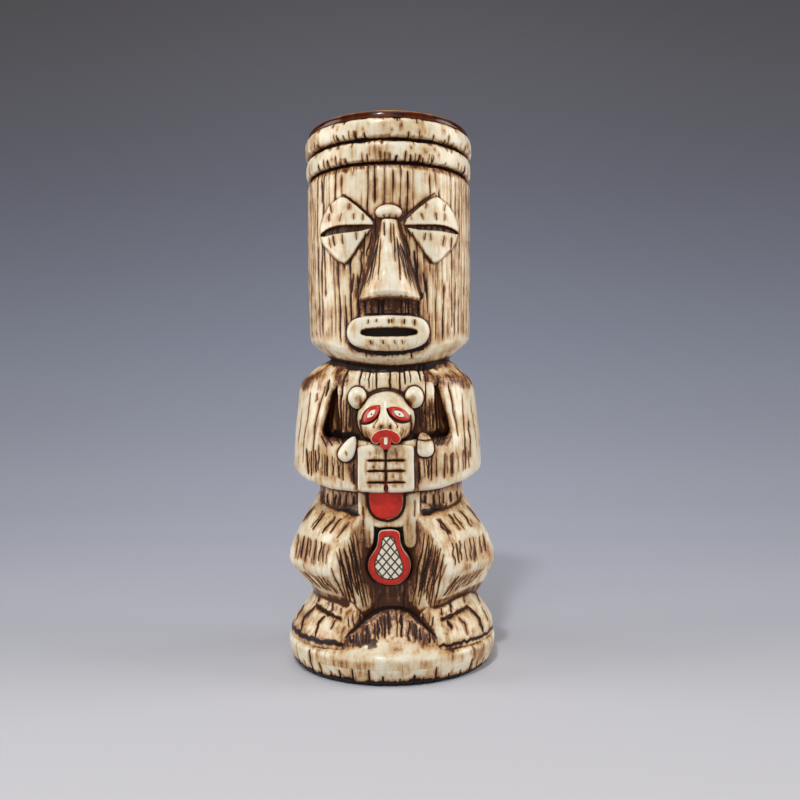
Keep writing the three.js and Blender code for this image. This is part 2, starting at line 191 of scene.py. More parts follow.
class Marks:
    """What the carver and the stain did at some places of a surface, and the shade painted on it.

    sink is how many millimetres the surface goes in, cut how black a place is, in grooves and in painted shadow
    lines, and wash how brown its neighbourhood is, from stain and from painted shade. turn is the angle round the
    figure in degrees, 0 in front and positive on its left.
    """

    def __init__(self, x, y, z):
        self.x, self.y, self.z = x, y, z
        self.turn = np.degrees(np.arctan2(x, -y))
        self.front = ramp(2, -4, y)
        self.sink = np.zeros(x.shape)
        self.cut = np.zeros(x.shape)
        self.wash_and_shade = np.zeros(x.shape)

    def noise(self, size, stretch=1.0):
        return noise(self.x, self.y, self.z * stretch, size)

    def groove(self, distance, width, strength=1.0, depth=0.5, where=slice(None)):
        """A groove of about this half width along the line where distance is 0."""
        profile = strength * np.exp(-((distance / width) ** 2))
        halo = 0.62 * strength * np.exp(-((distance / (1.7 * width + 0.45)) ** 2))
        self.sink[where] = np.maximum(self.sink[where], depth * profile)
        self.cut[where] = np.maximum(self.cut[where], profile)
        self.wash_and_shade[where] = np.maximum(self.wash_and_shade[where], halo)

    def stroke(self, u, v, points, width, strength=1.0, depth=0.5):
        """One stroke of the knife along the points, thin at both ends."""
        reach = 2.6 * width + 1.2
        lows = np.min(points, axis=0) - reach
        highs = np.max(points, axis=0) + reach
        where = np.nonzero((u > lows[0]) & (u < highs[0]) & (v > lows[1]) & (v < highs[1]))[0]
        if not len(where):
            return
        u, v = u[where], v[where]
        lengths = [math.dist(a, b) for a, b in zip(points, points[1:])]
        whole, done = sum(lengths), 0
        best = np.full(u.shape, 1e9)
        for (u0, v0), (u1, v1), length in zip(points, points[1:], lengths):
            du, dv = u1 - u0, v1 - v0
            t = np.clip(((u - u0) * du + (v - v0) * dv) / length**2, 0, 1)
            along = (done + t * length) / whole
            thick = 0.4 + 0.6 * np.sqrt(np.clip(4 * along * (1 - along), 0, 1))
            gap = np.sqrt((u - u0 - du * t) ** 2 + (v - v0 - dv * t) ** 2) / thick
            best = np.minimum(best, gap)
            done += length
        self.groove(best, width, strength, depth, where)

    def strokes(self, lines, width, seed, spread=0.2, depth=0.5, round_figure=False):
        """Strokes along lines of (x, z) points, drawn by a hand that sways and presses unevenly.

        With round_figure, x is an angle round the figure in degrees. Other strokes are only in front.
        """
        random = np.random.default_rng(seed)
        u = np.radians(self.turn) * GIRTH if round_figure else np.where(self.y < 0, self.x, 999)
        for line in lines:
            points = np.array(line, float)
            if round_figure:
                points[:, 0] = np.radians(points[:, 0]) * GIRTH
            steps = np.linspace(0, len(points) - 1, 2 * len(points) + 1)
            points = np.stack([np.interp(steps, np.arange(len(points)), points[:, i]) for i in (0, 1)], axis=1)
            points[1:-1] += random.normal(0, spread, points[1:-1].shape) * (1, 0.3)
            size = width * random.uniform(0.75, 1.3)
            strength = random.uniform(0.7, 1.1)
            self.stroke(u, self.z, [tuple(p) for p in points], size, strength, depth)

    def grain(self, lines, radius, seed, width=0.33, cover=0.6, sway=0.14, depth=0.4, power=1.0, where=1.0):
        """Upright wood grain all round: lines grooves, each with its own sway, breaks and strength."""
        random = np.random.default_rng(seed)
        shift = random.uniform(-0.2, 0.2, lines)
        phase = random.uniform(0, 2 * math.pi, (3, lines))
        strength = random.uniform(0.45, 1.05, lines) * power
        turn = self.turn / 360 * lines
        pitch = 2 * math.pi * radius / lines
        cell = np.floor(turn)
        z = self.z
        for step in (-1, 0, 1):
            i = ((cell + step) % lines).astype(int)
            lean = np.sin(z * 0.09 + phase[0][i]) + 0.4 * np.sin(z * 0.31 + phase[1][i])
            middle = cell + step + 0.5 + shift[i] + sway * lean
            breaks = np.sin(z * 0.075 + phase[2][i]) + 0.5 * np.sin(z * 0.23 + 2 * phase[1][i]) + cover
            size = width * (0.8 + 0.25 * np.sin(z * 0.4 + phase[2][i]) + 0.15 * np.sin(z * 1.1 + phase[0][i]))
            press = strength[i] * ramp(-0.2, 0.4, breaks) * where
            self.groove(np.abs(turn - middle) * pitch, size, press, depth)

    def stain_and_shade(self, amount):
        """Brown over a place: stain, and at some places painted shade."""
        self.wash_and_shade = np.maximum(self.wash_and_shade, amount)

    def wipe(self, amount):
        """A place wiped cleaner, lighter than the stain and painted shade of its folds would leave it."""
        self.wash_and_shade = self.wash_and_shade - amount

    def blacken(self, amount):
        """Black in a place: black stain, and at some places a painted shadow line."""
        self.cut = np.maximum(self.cut, amount)


def fan(first, last, count, seed=0, jitter=0.3):
    """Lines between the first (start, end) and the last, both included."""
    random = np.random.default_rng(seed)
    lines = []
    for t in np.linspace(0, 1, count):
        t += random.normal(0, jitter / count)
        ends = []
        for a, b in zip(first, last):
            s = t + random.normal(0, 0.25 * jitter / count)
            ends.append((a[0] + (b[0] - a[0]) * s, a[1] + (b[1] - a[1]) * s))
        (u0, v0), (u1, v1) = ends
        low, high = random.uniform(0, 0.12), random.uniform(0.84, 1.04)
        lines.append([(u0 + (u1 - u0) * k, v0 + (v1 - v0) * k) for k in (low, high)])
    return lines


def sided(lines, side, offset=0.0):
    """The lines for the figure's left, or mirrored for its right."""
    return [moved(line, offset, side) for line in lines]


# ---- Vessel ----
WELL = [(0, 22.4), (104, 22.4), (113, 18.6), (120, 18.6), (130, 27.4), (RIM_Z, 27.4), (HEIGHT + 5, 27.4)]


def front_share(x, y):
    """1 straight in front, falling to 0 at the sides and behind."""
    return np.clip(-y / np.maximum(np.hypot(x, y), 1e-6), 0, 1) ** 2


def hang(x, y, z, drop):
    """Heights measured on the head: its jaw hangs at the front."""
    return z + drop * front_share(x, y) * np.clip(1 - np.abs(z - 119) / 26, 0, 1)


def well(x, y, z):
    """The hollow inside, which starts just above the plinth."""
    level = hang(x, y, z, 4.5)
    return np.maximum(turned(np.hypot(x, y), level, WELL), PLINTH_TOP + 0.3 - z)


HEAD_PROFILE = [(112, 23.4), (120.4, 24.2), (122.3, 26.4), (126.2, 30.9), (127.7, 31.8), (131, 32.2), (152, HEAD_R)]
HEAD_PROFILE += [(187.6, HEAD_R), (189.4, HEAD_R - 0.5), (190.8, HEAD_R - 2.1), (212, HEAD_R - 2.1)]


def head(x, y, z):
    level = hang(x, y, z, 8.0)
    drum = turned(np.hypot(x, y), level, HEAD_PROFILE)
    return soft_max(drum, np.maximum(118.4 - level, z - RIM_Z), 0.8)


def head_marks(m):
    level = hang(m.x, m.y, m.z, 8.0)
    forehead = ramp(168, 173, m.z) * ramp(46, 36, np.abs(m.turn))
    body = ramp(127.4, 131.5, level + 1.6 * m.noise(4, 0.3)) * ramp(190.2, 189.4, m.z)
    m.grain(80, HEAD_R, 11, 0.4, 0.95, power=1.2, where=body * (1 - forehead))
    m.grain(72, HEAD_R, 13, 0.42, 0.8, sway=0.1, power=1.2, where=body * forehead)
    m.grain(148, HEAD_R, 12, 0.24, 0.2, power=0.7, where=body * (1 - 0.6 * forehead))
    m.stain_and_shade(0.55 * body * np.clip(m.noise(6, 0.4) + 0.8 * m.noise(2.2, 0.15) - 0.05, 0, 1))
    m.blacken(ramp(189.3, 189.9, m.z + 0.35 * m.noise(2.2)))
    m.stain_and_shade(0.8 * ramp(187.2, 189.2, m.z + 0.8 * m.noise(2.2, 0.4)))
    m.strokes([[(-16.6, 179.8), (-11, 174.8), (-4.8, 168.6)], [(17.4, 180.2), (11, 175), (4.6, 168.6)]], 0.62, 21, 0.08)
    for side in (-1, 1):
        channel = [(3.8, 168.4), (5, 165), (7.4, 155), (11.2, 144.5), (12.2, 141.6)]
        gap = path(m.x * side, m.z, channel) + 0.3 * m.noise(2)
        m.stain_and_shade(0.85 * np.exp(-((gap / 2.2) ** 2)) * m.front * (0.8 + 0.5 * m.noise(1.8, 0.3)))
        m.groove(np.where(m.front > 0.5, gap, 9), 0.5, 0.5 + 0.14 * side, 0.8)
        m.strokes(sided([[(9.6, 158), (10.4, 148)], [(12.8, 150), (13.6, 143)]], side), 0.45, 27 + side, 0.15)
        m.strokes(sided([[(6, 164), (8, 156)], [(9.4, 153), (11.2, 145)]], side), 0.3, 34 + side, 0.2)
    under = outline(m.x, m.z, rounded([(-11, 132), (11.8, 132), (11.8, 141), (-11, 141)], 1))
    m.sink += 0.6 * ramp(0.5, -0.8, under) * m.front
    m.blacken(ramp(2.1, 1.2, np.hypot((m.x - 11.6) * 1.3, m.z - 141.6)) * m.front)
    m.stain_and_shade(ramp(0.5, -0.5, under) * m.front * (0.2 + 0.5 * m.noise(1.8, 0.5)))
    ticks = [[(x, 140), (x + 0.1, 134.8)] for x in (-11, -8.8, -6.2, -2.6, 4.6, 7.2, 10.6)]
    m.strokes(ticks, 0.5, 22, 0.1, 0.6)
    brink = path(m.x, m.z, [(-8.6, 134.9), (9.4, 134.9)]) + 0.25 * m.noise(1.5)
    m.blacken(0.8 * np.exp(-((brink / 0.6) ** 2)) * m.front)
    chin = [[(x, 121.6), (x, 119.8 - drop)] for x, drop in ((-8.4, 0.4), (-4.2, 0.2), (-2, 0), (0, 0.3), (3.2, 0.1), (5, 0))]
    m.strokes(chin + [[(8.2, 120.6), (8.4, 118.8)]], 0.5, 23, 0.05, 0.5)
    lip = outline(m.x, m.z, rounded(MOUTH, 2))
    # Black and brown round the lower half of the lips: painted shadow beneath them.
    m.blacken(ramp(1.9, 1.0, lip + 0.5 * m.noise(1.4)) * ramp(127, 123, m.z) * m.front)
    m.stain_and_shade(0.9 * ramp(3.2, 0.6, lip) * ramp(130, 124, m.z) * m.front)
    # Darker towards the bottom of the head, most on its sides and lowest band: painted shade on its down-facing bevel.
    m.stain_and_shade(ramp(128, 123.5, level + 1.5 * m.noise(3)) * (0.42 + 0.5 * m.noise(4, 0.6)) * (1.1 - 0.5 * m.front))
    m.stain_and_shade(0.9 * ramp(122.6, 120.8, level + 0.6 * m.noise(3)))
    m.wipe(ramp(0.5, -0.5, under) * m.front * (0.8 + 0.5 * m.noise(1.8, 0.4)))


def crown_band(low, high, radius):
    """A rounded band round the head, with uneven edges."""
    middle, half = (low + high) / 2, (high - low) / 2

    def band(x, y, z):
        uneven = 0.3 * noise(x, y, 0 * z + middle, 3.2) + 0.34 * noise(x, y, 0 * z + low, 1.3)
        across = np.abs(z - middle) - half - uneven * np.where(z < middle, 0.5, 1)
        bulge = radius - 0.8 * np.clip(np.abs(z - middle) / half, 0, 1.2) ** 3
        outer = soft_max(np.hypot(x, y) - bulge, across, 0.9)
        return np.maximum(outer, 30.3 - np.hypot(x, y))

    return band


def crown_marks(low, high, seed):
    def marks(m):
        random = np.random.default_rng(seed)
        arc = np.radians(m.turn) * HEAD_R
        for _ in range(130):
            centre = random.uniform(-math.pi, math.pi) * HEAD_R
            length = random.uniform(0.9, 3.4)
            foot, tip = (low, low + length) if random.random() < 0.7 else (high, high - length * 0.6)
            size, press = random.uniform(0.2, 0.4), random.uniform(0.6, 1.1)
            m.stroke(arc, m.z, [(centre, foot), (centre + random.normal(0, 0.2), tip)], size, press, 0.3)
        for _ in range(18):
            centre = (random.uniform(-math.pi, math.pi) * HEAD_R, random.uniform(low + 2, high - 2))
            m.groove(np.hypot(arc - centre[0], (m.z - centre[1]) * 0.6), random.uniform(0.2, 0.36), 0.8, 0.2)
        edge = np.minimum(m.z - low, high - m.z) + 0.4 * m.noise(2)
        m.stain_and_shade(0.55 * ramp(1.1, 0.1, edge))
        m.stain_and_shade(0.3 * np.clip(m.noise(5) + m.noise(2.5, 0.4), 0, 1))

    return marks


PLINTH_PROFILE = [(-1, 36.6), (0, 37.4), (2, 39.3), (6, 40.8), (10, 41.3), (12.6, 41.2), (14.4, 39.8), (16, 36.5)]


def plinth(x, y, z):
    side = turned(np.hypot(x, y), z, PLINTH_PROFILE)
    dome = z - 14.4 + 0.0016 * (x * x + y * y)
    solid = soft_max(side, dome, 2.4)
    recess = np.maximum(np.hypot(x, y) - 29, z - 2)
    return np.maximum(np.maximum(solid, -z), -recess)


def plinth_marks(m):
    arc = np.radians(m.turn) * PLINTH_R
    random = np.random.default_rng(41)
    for centre in np.arange(-math.pi, math.pi, 0.128) * PLINTH_R:
        centre += random.normal(0, 0.9)
        top = random.choice([3.4, 4.4, 5.4, 6.6, 10.5])
        points = [(centre, 0.5), (centre + random.normal(0, 0.2), (top + 0.5) / 2), (centre, top)]
        m.stroke(arc, m.z, points, random.uniform(0.36, 0.56), random.uniform(0.75, 1.15), 0.5)
    m.grain(90, PLINTH_R, 43, 0.24, -0.6, power=0.6, where=ramp(11, 8, m.z))
    heavy = 0.5 + 0.5 * ramp(-10, -60, m.turn) * ramp(-110, -80, m.turn)
    foot = 1.7 + 1.6 * heavy + 0.8 * noise(m.x, m.y, 0 * m.z, 4) + 0.5 * noise(m.x, m.y, 0 * m.z, 1.4)
    m.blacken(ramp(foot + 0.3, foot - 0.2, m.z))
    m.stain_and_shade(0.7 * ramp(foot + 1.8, foot, m.z))
    m.stain_and_shade(0.75 * np.clip(1.6 * m.noise(7, 0.6) + 0.1, 0, 1) * (0.7 + 0.6 * m.noise(1.6, 0.2)))
    m.stain_and_shade(0.4 * ramp(10.5, 13.5, m.z) * np.clip(m.noise(3) + 0.3, 0, 1))


TORSO_PROFILE = [(10, 27), (30, 26), (50, 27.4), (64, 28.6), (80, 28.8), (96, 29.4), (107, 29.4), (112, 27.2), (117, 24.4)]
TORSO_PROFILE += [(125, 24.2)]


def torso(x, y, z):
    """The trunk, with a chest that slopes in below the level of the armpits."""
    deep = np.where(y < 0, 0.97, 0.95)
    body = soft_max(turned(np.hypot(x, y / deep), z, TORSO_PROFILE), between(z, 10.5, 119.8), 0.8)
    lean = -y - 29.8 + 0.24 * np.clip(108 - z, 0, 30)
    chest = soft_max(sleeve(x, y, z) + 0.15, lean, 2.5)
    block = np.maximum(np.abs(x - ARM_X) - 18.2 + 0.1 * np.clip(104 - z, 0, 20), np.maximum(y + 5, 86 - z))
    return soft_min(body, soft_max(chest, block, 1.2), 1.2)


CHEST_LINES = [
    [(-21, 115), (-21, 109)],
    [(-14.7, 114.5), (-14.6, 107.5)],
    [(-9.4, 114.5), (-9.2, 107.5)],
    [(0.6, 114), (0.3, 106.4)],
    [(7.9, 114.5), (7.4, 105.4)],
    [(11.5, 115), (11.5, 109)],
    [(15.8, 115), (15.2, 109.5)],
    [(22.8, 115.5), (23, 110)],
    [(27, 115.5), (26, 105), (25.5, 98)],
    [(-32, 114.5), (-33, 108), (-33.5, 101)],
    [(37, 112.5), (36.5, 107)],
    [(-44, 111), (-45.5, 105)],
]


def neck_shade_and_shoulder_stain(m):
    """The black line and the brown under the jaw, painted shadow where the head overhangs, and the stain over chest and
    shoulders.
    """
    neck = 120.9 - 6.2 * front_share(m.x, m.y)
    # Painted shadow under the jaw's overhang: black at the top of the neck, brown just below it.
    m.blacken(ramp(neck - 2.0, neck - 0.8, m.z + 0.7 * m.noise(2.2)))
    m.stain_and_shade(0.9 * ramp(neck - 3.6, neck - 1.4, m.z + 1.6 * m.noise(3)))
    top = ramp(106.5, 110, m.z + 1.5 * m.noise(4)) * ramp(16, 28, np.abs(m.turn))
    m.stain_and_shade(top * np.clip(0.62 + 0.9 * m.noise(3.2, 0.7), 0, 1))
    m.stain_and_shade(1.1 * top * ramp(-0.2, 0.3, m.noise(6, 0.6)) * ramp(116, 111, m.z))
    m.strokes(CHEST_LINES, 0.46, 33, 0.12, 0.6, round_figure=True)


def torso_marks(m):
    waist = ramp(76, 72, m.z)
    m.grain(46, 28, 31, 0.42, 0.4, depth=0.6, where=waist)
    m.grain(110, 28, 32, 0.24, 0.1, power=0.7, where=1 - 0.4 * waist)
    neck_shade_and_shoulder_stain(m)
    # Brown band at the top of the waist: painted shadow under the forearms.
    m.stain_and_shade(waist * ramp(66, 70, m.z) * 0.7)
    m.stain_and_shade(0.75 * waist * ramp(24, 14, np.abs(m.turn)) * m.front)
    m.stain_and_shade(0.75 * waist * (0.7 + m.noise(4, 0.4)))
    for side in (-1, 1):
        folds = fan(((13.4, 68), (13.6, 61.4)), ((26, 67.6), (26.6, 64)), 6, 44 + side)
        m.strokes(sided(folds, side), 0.45, 46 + side, 0.15, 0.6)
    # Brown and black low in front between the legs: painted shade in the deep pocket there.
    well_down = ramp(12, 3, np.hypot(m.x, (m.z - 28) * 1.1)) * m.front
    m.stain_and_shade(well_down * 1.1)
    m.blacken(0.55 * well_down * (1 + 0.4 * m.noise(5)))
    u = np.abs(m.x - ARM_X)
    chest = ramp(107, 100, m.z) * ramp(74, 78, m.z) * m.front
    m.stain_and_shade(chest * ramp(8.5, 11, u) * (0.85 + 0.4 * m.noise(1.8, 0.25)))
    m.blacken(chest * ramp(16.6, 18.4, u + 0.8 * m.noise(2, 0.4)) * (0.3 + 0.5 * m.noise(1.6, 0.3)))
    m.wipe(0.6 * chest * ramp(16.6, 18.4, u) * (0.6 + 0.6 * m.noise(1.6, 0.3)))
    m.blacken(chest * ramp(93.5, 90, m.z + 1.2 * m.noise(2)) * ramp(8, 11, u))
    for side in (-1, 1):
        beside = fan(((11.4, 104), (11, 91)), ((19.4, 106), (20.6, 90)), 8, 36 + side, 0.4)
        m.strokes(sided(beside, side, ARM_X), 0.34, 38 + side, 0.15, 0.5)
        lobe = np.hypot((m.x - SKULL_X - 10.5 * side) / 3.4, (m.z - 104.2) / 4.0)
        m.groove(np.where(m.y < 0, (lobe - 1.1) * 3.6, 9), 0.4, 0.72, 0.4)
    dome = np.hypot(m.x - SKULL_X, m.z - 96.6)
    m.groove(np.where(m.y < 0, dome - 11.0, 9), 0.5, 0.8, 0.4)
    m.wipe(0.7 * ramp(104.5, 108, m.z) * ramp(115.5, 113.5, m.z) * ramp(36, 28, np.abs(m.turn)))
    around_tail(m)


def around_tail(m):
    """The black line round the beaver's tail."""
    gap = outline(m.x, m.z, TAIL_OUTLINE)
    m.groove(np.where(m.y < 0, gap - 0.5, 9), 0.75, 1.0, 0.3)


# ---- Face ----
EYE = [(5.2, 168.2), (10.6, 173.6), (17.2, 179.2), (20.4, 177.9), (24.2, 175), (26.8, 169.6), (26.6, 164.6)]
EYE += [(23.2, 159.2), (17.2, 153.4), (14.6, 155.2), (10.4, 161.4), (7, 165.6)]
EYE_X = 0.4


def eye(side):
    points = moved(rounded(EYE, 1), EYE_X, side)

    def shape(x, y, z):
        edge = outline(x, z, points)
        plate = np.hypot(x, y) - HEAD_R - 1.3 - 0.6 * ramp(0, -6, edge)
        return soft_max(soft_max(plate, edge, 0.9), np.maximum(HEAD_R - 1.5 - np.hypot(x, y), y + 8), 0.5)

    return shape


def eye_marks(side):
    thick = 1.25 if side < 0 else 0.95

    def marks(m):
        u = (m.x - EYE_X) * side
        middle = 167 - (0.05 if side < 0 else 0.02) * (u - 5) - 0.3 * np.sin((u - 5) * 0.3)
        along = np.clip((u - 5.2) / 21, 0, 1)
        half = thick * np.sqrt(np.clip(4 * along * (1 - along), 0, 1)) * (0.75 + 0.5 * along)
        slit = np.where(half > 0, np.abs(m.z - middle) - half, 3)
        opened = ramp(0.2, -0.3, slit)
        m.sink = np.maximum(m.sink, 2.7 * opened)
        m.blacken(opened)
        m.stain_and_shade(0.6 * ramp(0.7, 0, slit))
        upper = fan(((8.6, 171.4), (8.9, 169)), ((22, 173.4), (22.2, 169.8)), 4, 50 + side)
        lower = fan(((9.2, 165), (9.4, 162.6)), ((23.4, 164.6), (22.6, 160)), 5, 60 + side)
        crown = fan(((13.6, 176), (13.4, 173.4)), ((20.6, 176.8), (20.4, 173)), 2, 70 + side)
        m.strokes(sided(upper + crown, side, EYE_X), 0.22, 80 + side, 0.05, 0.25)
        m.strokes(sided(lower, side, EYE_X), 0.27, 83 + side, 0.05, 0.25)
        edge = outline(m.x, m.z, moved(rounded(EYE, 1), EYE_X, side))
        m.stain_and_shade(0.5 * ramp(-1.0, -0.1, edge + 0.4 * m.noise(2)))

    return marks


NOSE_TOP, NOSE_LENGTH = 168.8, 28.4


def nose_half(z):
    """Half the nose's width at a height."""
    return 3.3 + 7.8 * np.clip((NOSE_TOP - z) / NOSE_LENGTH, 0, 1) ** 1.3


def nose(x, y, z):
    """A long wedge with a flat ridge, which widens and rises towards its tip and is cut off below."""
    t = np.clip((NOSE_TOP - z) / NOSE_LENGTH, 0, 1)
    high = 2.0 + 6.4 * t**1.1 - 1.3 * ramp(0.93, 1.0, t)
    across = np.abs(x - EYE_X) / nose_half(z)
    ridge = high * (1 - np.clip((across - 0.25) / 0.85, 0, 1.4) ** 1.6)
    front = (np.hypot(x, y) - HEAD_R - ridge) * 0.7
    lower_edge = 140.3 - 0.006 * (x - EYE_X) ** 2
    solid = soft_max(front, (np.abs(x - EYE_X) - nose_half(z) - 0.3) * 0.8, 0.8)
    solid = soft_max(solid, np.maximum(lower_edge - z, z - NOSE_TOP - 0.8), 1.0)
    return np.maximum(solid, np.maximum(HEAD_R - 1.5 - np.hypot(x, y), y + 8))


def nose_marks(m):
    across = np.abs(m.x - EYE_X) / nose_half(m.z)
    m.strokes([[(2, 167.4), (2.3, 161), (2.6, 153)], [(3.8, 160), (5.6, 151)], [(-3.4, 163.5), (-4.6, 155)]], 0.3, 91, 0.1, 0.25)
    flank = fan(((2.6, 164), (3.2, 146)), ((4.6, 160), (9.6, 144)), 6, 93, 0.5)
    m.strokes(sided(flank, -1, EYE_X) + sided(flank, 1, EYE_X), 0.26, 92, 0.12, 0.25)
    m.strokes([[(-1.4, 168), (-1.2, 163)], [(1.1, 167.6), (1.2, 160)]], 0.34, 94, 0.05, 0.25)
    m.stain_and_shade(ramp(0.5, 0.95, across) * ramp(142, 147, m.z) * (0.7 + 0.5 * m.noise(2.4, 0.25)))
    m.stain_and_shade(0.42 * ramp(0.25, 0.5, across) * (0.5 + m.noise(1.6, 0.15)))
    # Brown on the nose's underside: painted shade below the nose.
    m.stain_and_shade(0.9 * ramp(141.4, 140.2, m.z))


def brow_knob(x, y, z):
    return egg(x, y, z, (0.3, -HEAD_R + 0.2, 171.9), (4.9, 3.0, 2.9))


def brow_marks(m):
    m.strokes([[(-1.4, 170.6), (-1.2, 169.4)], [(0.8, 170.8), (0.6, 169.4)], [(3, 170.4), (2.8, 169.4)]], 0.28, 29, 0.05, 0.2)
    m.stain_and_shade(0.7 * ramp(170.6, 169.4, m.z))


def plain_marks(m):
    m.stain_and_shade(0.25 * np.clip(m.noise(3), 0, 1))


MOUTH = [(-16, 127.9), (-14.4, 132.4), (-10, 133.9), (0, 134.2), (10.4, 133.9), (14, 132.2), (15.4, 127.9)]
MOUTH += [(13.2, 123.6), (7.4, 121.5), (0, 121), (-7.8, 121.5), (-13.6, 123.6)]
MOUTH_SLOT = [(-10.8, 127.9), (-9, 129.5), (0, 129.7), (9, 129.5), (10.9, 127.9), (9, 126.6), (0, 126.3), (-9, 126.6)]


def mouth(x, y, z):
    edge = outline(x, z, rounded(MOUTH, 2))
    slot = outline(x, z, rounded(MOUTH_SLOT, 2))
    lips = 2.3 + 0.6 * np.cos(np.clip((edge + 3.1) / 3.1, -1, 1) * math.pi / 2)
    radius = np.interp(z, [118, 124, 130], [31.4, 32, 32.4])
    solid = soft_max(np.hypot(x, y) - radius - lips, edge, 1.2)
    solid = soft_max(solid, -np.maximum(slot, radius + 0.6 - np.hypot(x, y)), 0.4)
    return np.maximum(solid, np.maximum(radius - 2 - np.hypot(x, y), y + 8))


def mouth_marks(m):
    slot = outline(m.x, m.z, rounded(MOUTH_SLOT, 2))
    m.blacken(ramp(0.1, -0.4, slot) * ramp(35.2, 34.4, np.hypot(m.x, m.y)))
    m.stain_and_shade(0.6 * ramp(0.6, 0.1, slot))
    upper = [[(x, 132.6), (x - 0.1, top)] for x, top in ((-7.4, 131), (-4.4, 131.6), (0.2, 131), (1.2, 131.2), (5.8, 130.8), (9.6, 130.4))]
    lower = [[(x, 125), (x + 0.3, 123.5)] for x in (-6.8, -2.2, 2, 4.8)]
    m.strokes(upper + lower, 0.3, 95, 0.04, 0.25)
    # Darker at the bottom of the lips: painted shade on their underside.
    m.stain_and_shade(0.35 * ramp(124.5, 122.5, m.z) * (1 + m.noise(2.5)))


# ---- Arms, hands and thumbs ----
SLEEVE = [(60, 36.6), (70, 37.2), (78, 37.7), (90, 37.2), (97, 36.5), (104.5, 35.7), (108, 35.2), (110, 34.7)]
SLEEVE += [(111.7, 33.8), (113.2, 32.4), (120.2, 24.8), (124, 23)]
SLEEVE_FRONT = [(60, 0.92), (78, 0.93), (88, 0.93), (97, 0.9), (108, 0.865), (114, 0.9), (120, 1.0)]


def sleeve(x, y, z):
    """The envelope that both arms are cut from, which is shallower behind."""
    heights, shares = zip(*SLEEVE_FRONT)
    deep = np.where(y < 0, np.interp(z, heights, shares), 0.8)
    return turned(np.hypot(x - ARM_X * ramp(122, 114, z), y / deep), z, SLEEVE)


ARM_FRONT = [(2, 68.9), (20, 70.2), (30, 72.6), (37, 75.6), (42, 80), (42, 109), (30, 118), (18, 121)]
ARM_FRONT += [(13, 119), (12.6, 109), (18.6, 108.2), (20, 106.6), (24, 92), (23, 89.6), (12, 88.8), (2, 87.6)]
ARM_BACK = [(19, 82), (30, 76), (42, 79), (42, 109), (30, 119), (19, 121)]


def arm(side):
    front_points = moved(ARM_FRONT, ARM_X, side)
    back_points = moved(ARM_BACK, ARM_X, side)

    def shape(x, y, z):
        share = ramp(-3, 9, y)
        edge = outline(x, z, front_points) * (1 - share) + outline(x, z, back_points) * share
        outer = soft_max(sleeve(x, y, z), edge, 2.2)
        return np.maximum(outer, 20 - np.hypot(x, y))

    return shape


ARM_LINES = {
    -1: [
        [(-61, 106.5), (-60, 97.7), (-62.5, 87.4), (-62, 79.6)],
        [(-47, 108.5), (-49.5, 102), (-51.5, 93.5), (-50.5, 80)],
        [(-46.5, 86.5), (-47, 77)],
        [(-53, 106), (-54, 103)],
        [(-70, 100), (-71, 84)],
        [(-55, 84), (-55.5, 78)],
        [(-82, 104), (-81, 86)],
    ],
    1: [
        [(45, 110), (46, 103.6), (46.5, 96)],
        [(47.5, 99), (48, 89.5)],
        [(58, 105.5), (56, 95.2), (53, 85.4), (53, 79.4)],
        [(61, 95), (60, 81)],
        [(69, 103), (70, 88)],
        [(80, 101), (78.5, 84)],
    ],
}


def arm_marks(side):
    def marks(m):
        m.strokes(ARM_LINES[side], 0.4, 110 + side, 0.3, 0.6, round_figure=True)
        u = (m.x - ARM_X) * side
        below = fan(((12.8, 81.6), (12.8, 73)), ((30.6, 85.5), (30.2, 75.4)), 9, 100 + side)
        thin = fan(((13.6, 82), (13.8, 74)), ((29, 84), (29.2, 76)), 7, 102 + side, 0.6)
        nicks = fan(((16, 90), (14.4, 87)), ((24.4, 90), (22, 85.8)), 6, 104 + side)
        m.strokes(sided(below, side, ARM_X), 0.33, 120 + side, 0.08, 0.55)
        m.strokes(sided(thin, side, ARM_X), 0.2, 122 + side, 0.1, 0.25)
        m.strokes(sided(nicks, side, ARM_X), 0.36, 130 + side, 0.1, 0.5)
        m.grain(60, 36, 140 + side, 0.36, 0.5, depth=0.5, where=ramp(88, 98, np.abs(m.turn)))
        m.grain(150, 36, 143 + side, 0.2, -0.5, power=0.55)
        neck_shade_and_shoulder_stain(m)
        m.stain_and_shade(ramp(29, 20, u) * ramp(89, 84, m.z) * ramp(71, 76, m.z) * (0.3 + 0.5 * m.noise(2.6, 0.3)) * m.front)
        # Brown on the forearm beside the hands: painted shade along the hands' raised edge.
        m.stain_and_shade(ramp(12.8, 11.2, u) * ramp(87, 84, m.z) * m.front * 0.8)
        m.stroke(u, m.z, [(11.8, 72.4), (12, 76), (11.8, 80)], 0.6, m.front.max(), 0.4)
        thumb_points = LEFT_THUMB if side > 0 else RIGHT_THUMB
        gap = outline(m.x, m.z, rounded(thumb_points, 2)) - 0.4
        m.groove(np.where(m.y < 0, gap, 9), 0.4, 0.8, 0.2)
        # Brown and black round the arm's inner edge by the recess: stain, and painted shade where the arm drops into
        # it.
        edge = outline(u, m.z, [(20, 107), (24, 91), (22, 88), (12, 88), (12, 107)])
        m.stain_and_shade(ramp(2.4, 0.2, edge + 0.9 * m.noise(2, 0.5)) * 0.85 * m.front)
        m.blacken(ramp(0.9, -0.3, edge + 0.4 * m.noise(1.6, 0.5)) * m.front * 0.6)
        m.stain_and_shade(0.5 * np.clip(1.5 * m.noise(5, 0.5) - 0.2, 0, 1) * (0.7 + 0.6 * m.noise(1.4, 0.2)))

    return marks


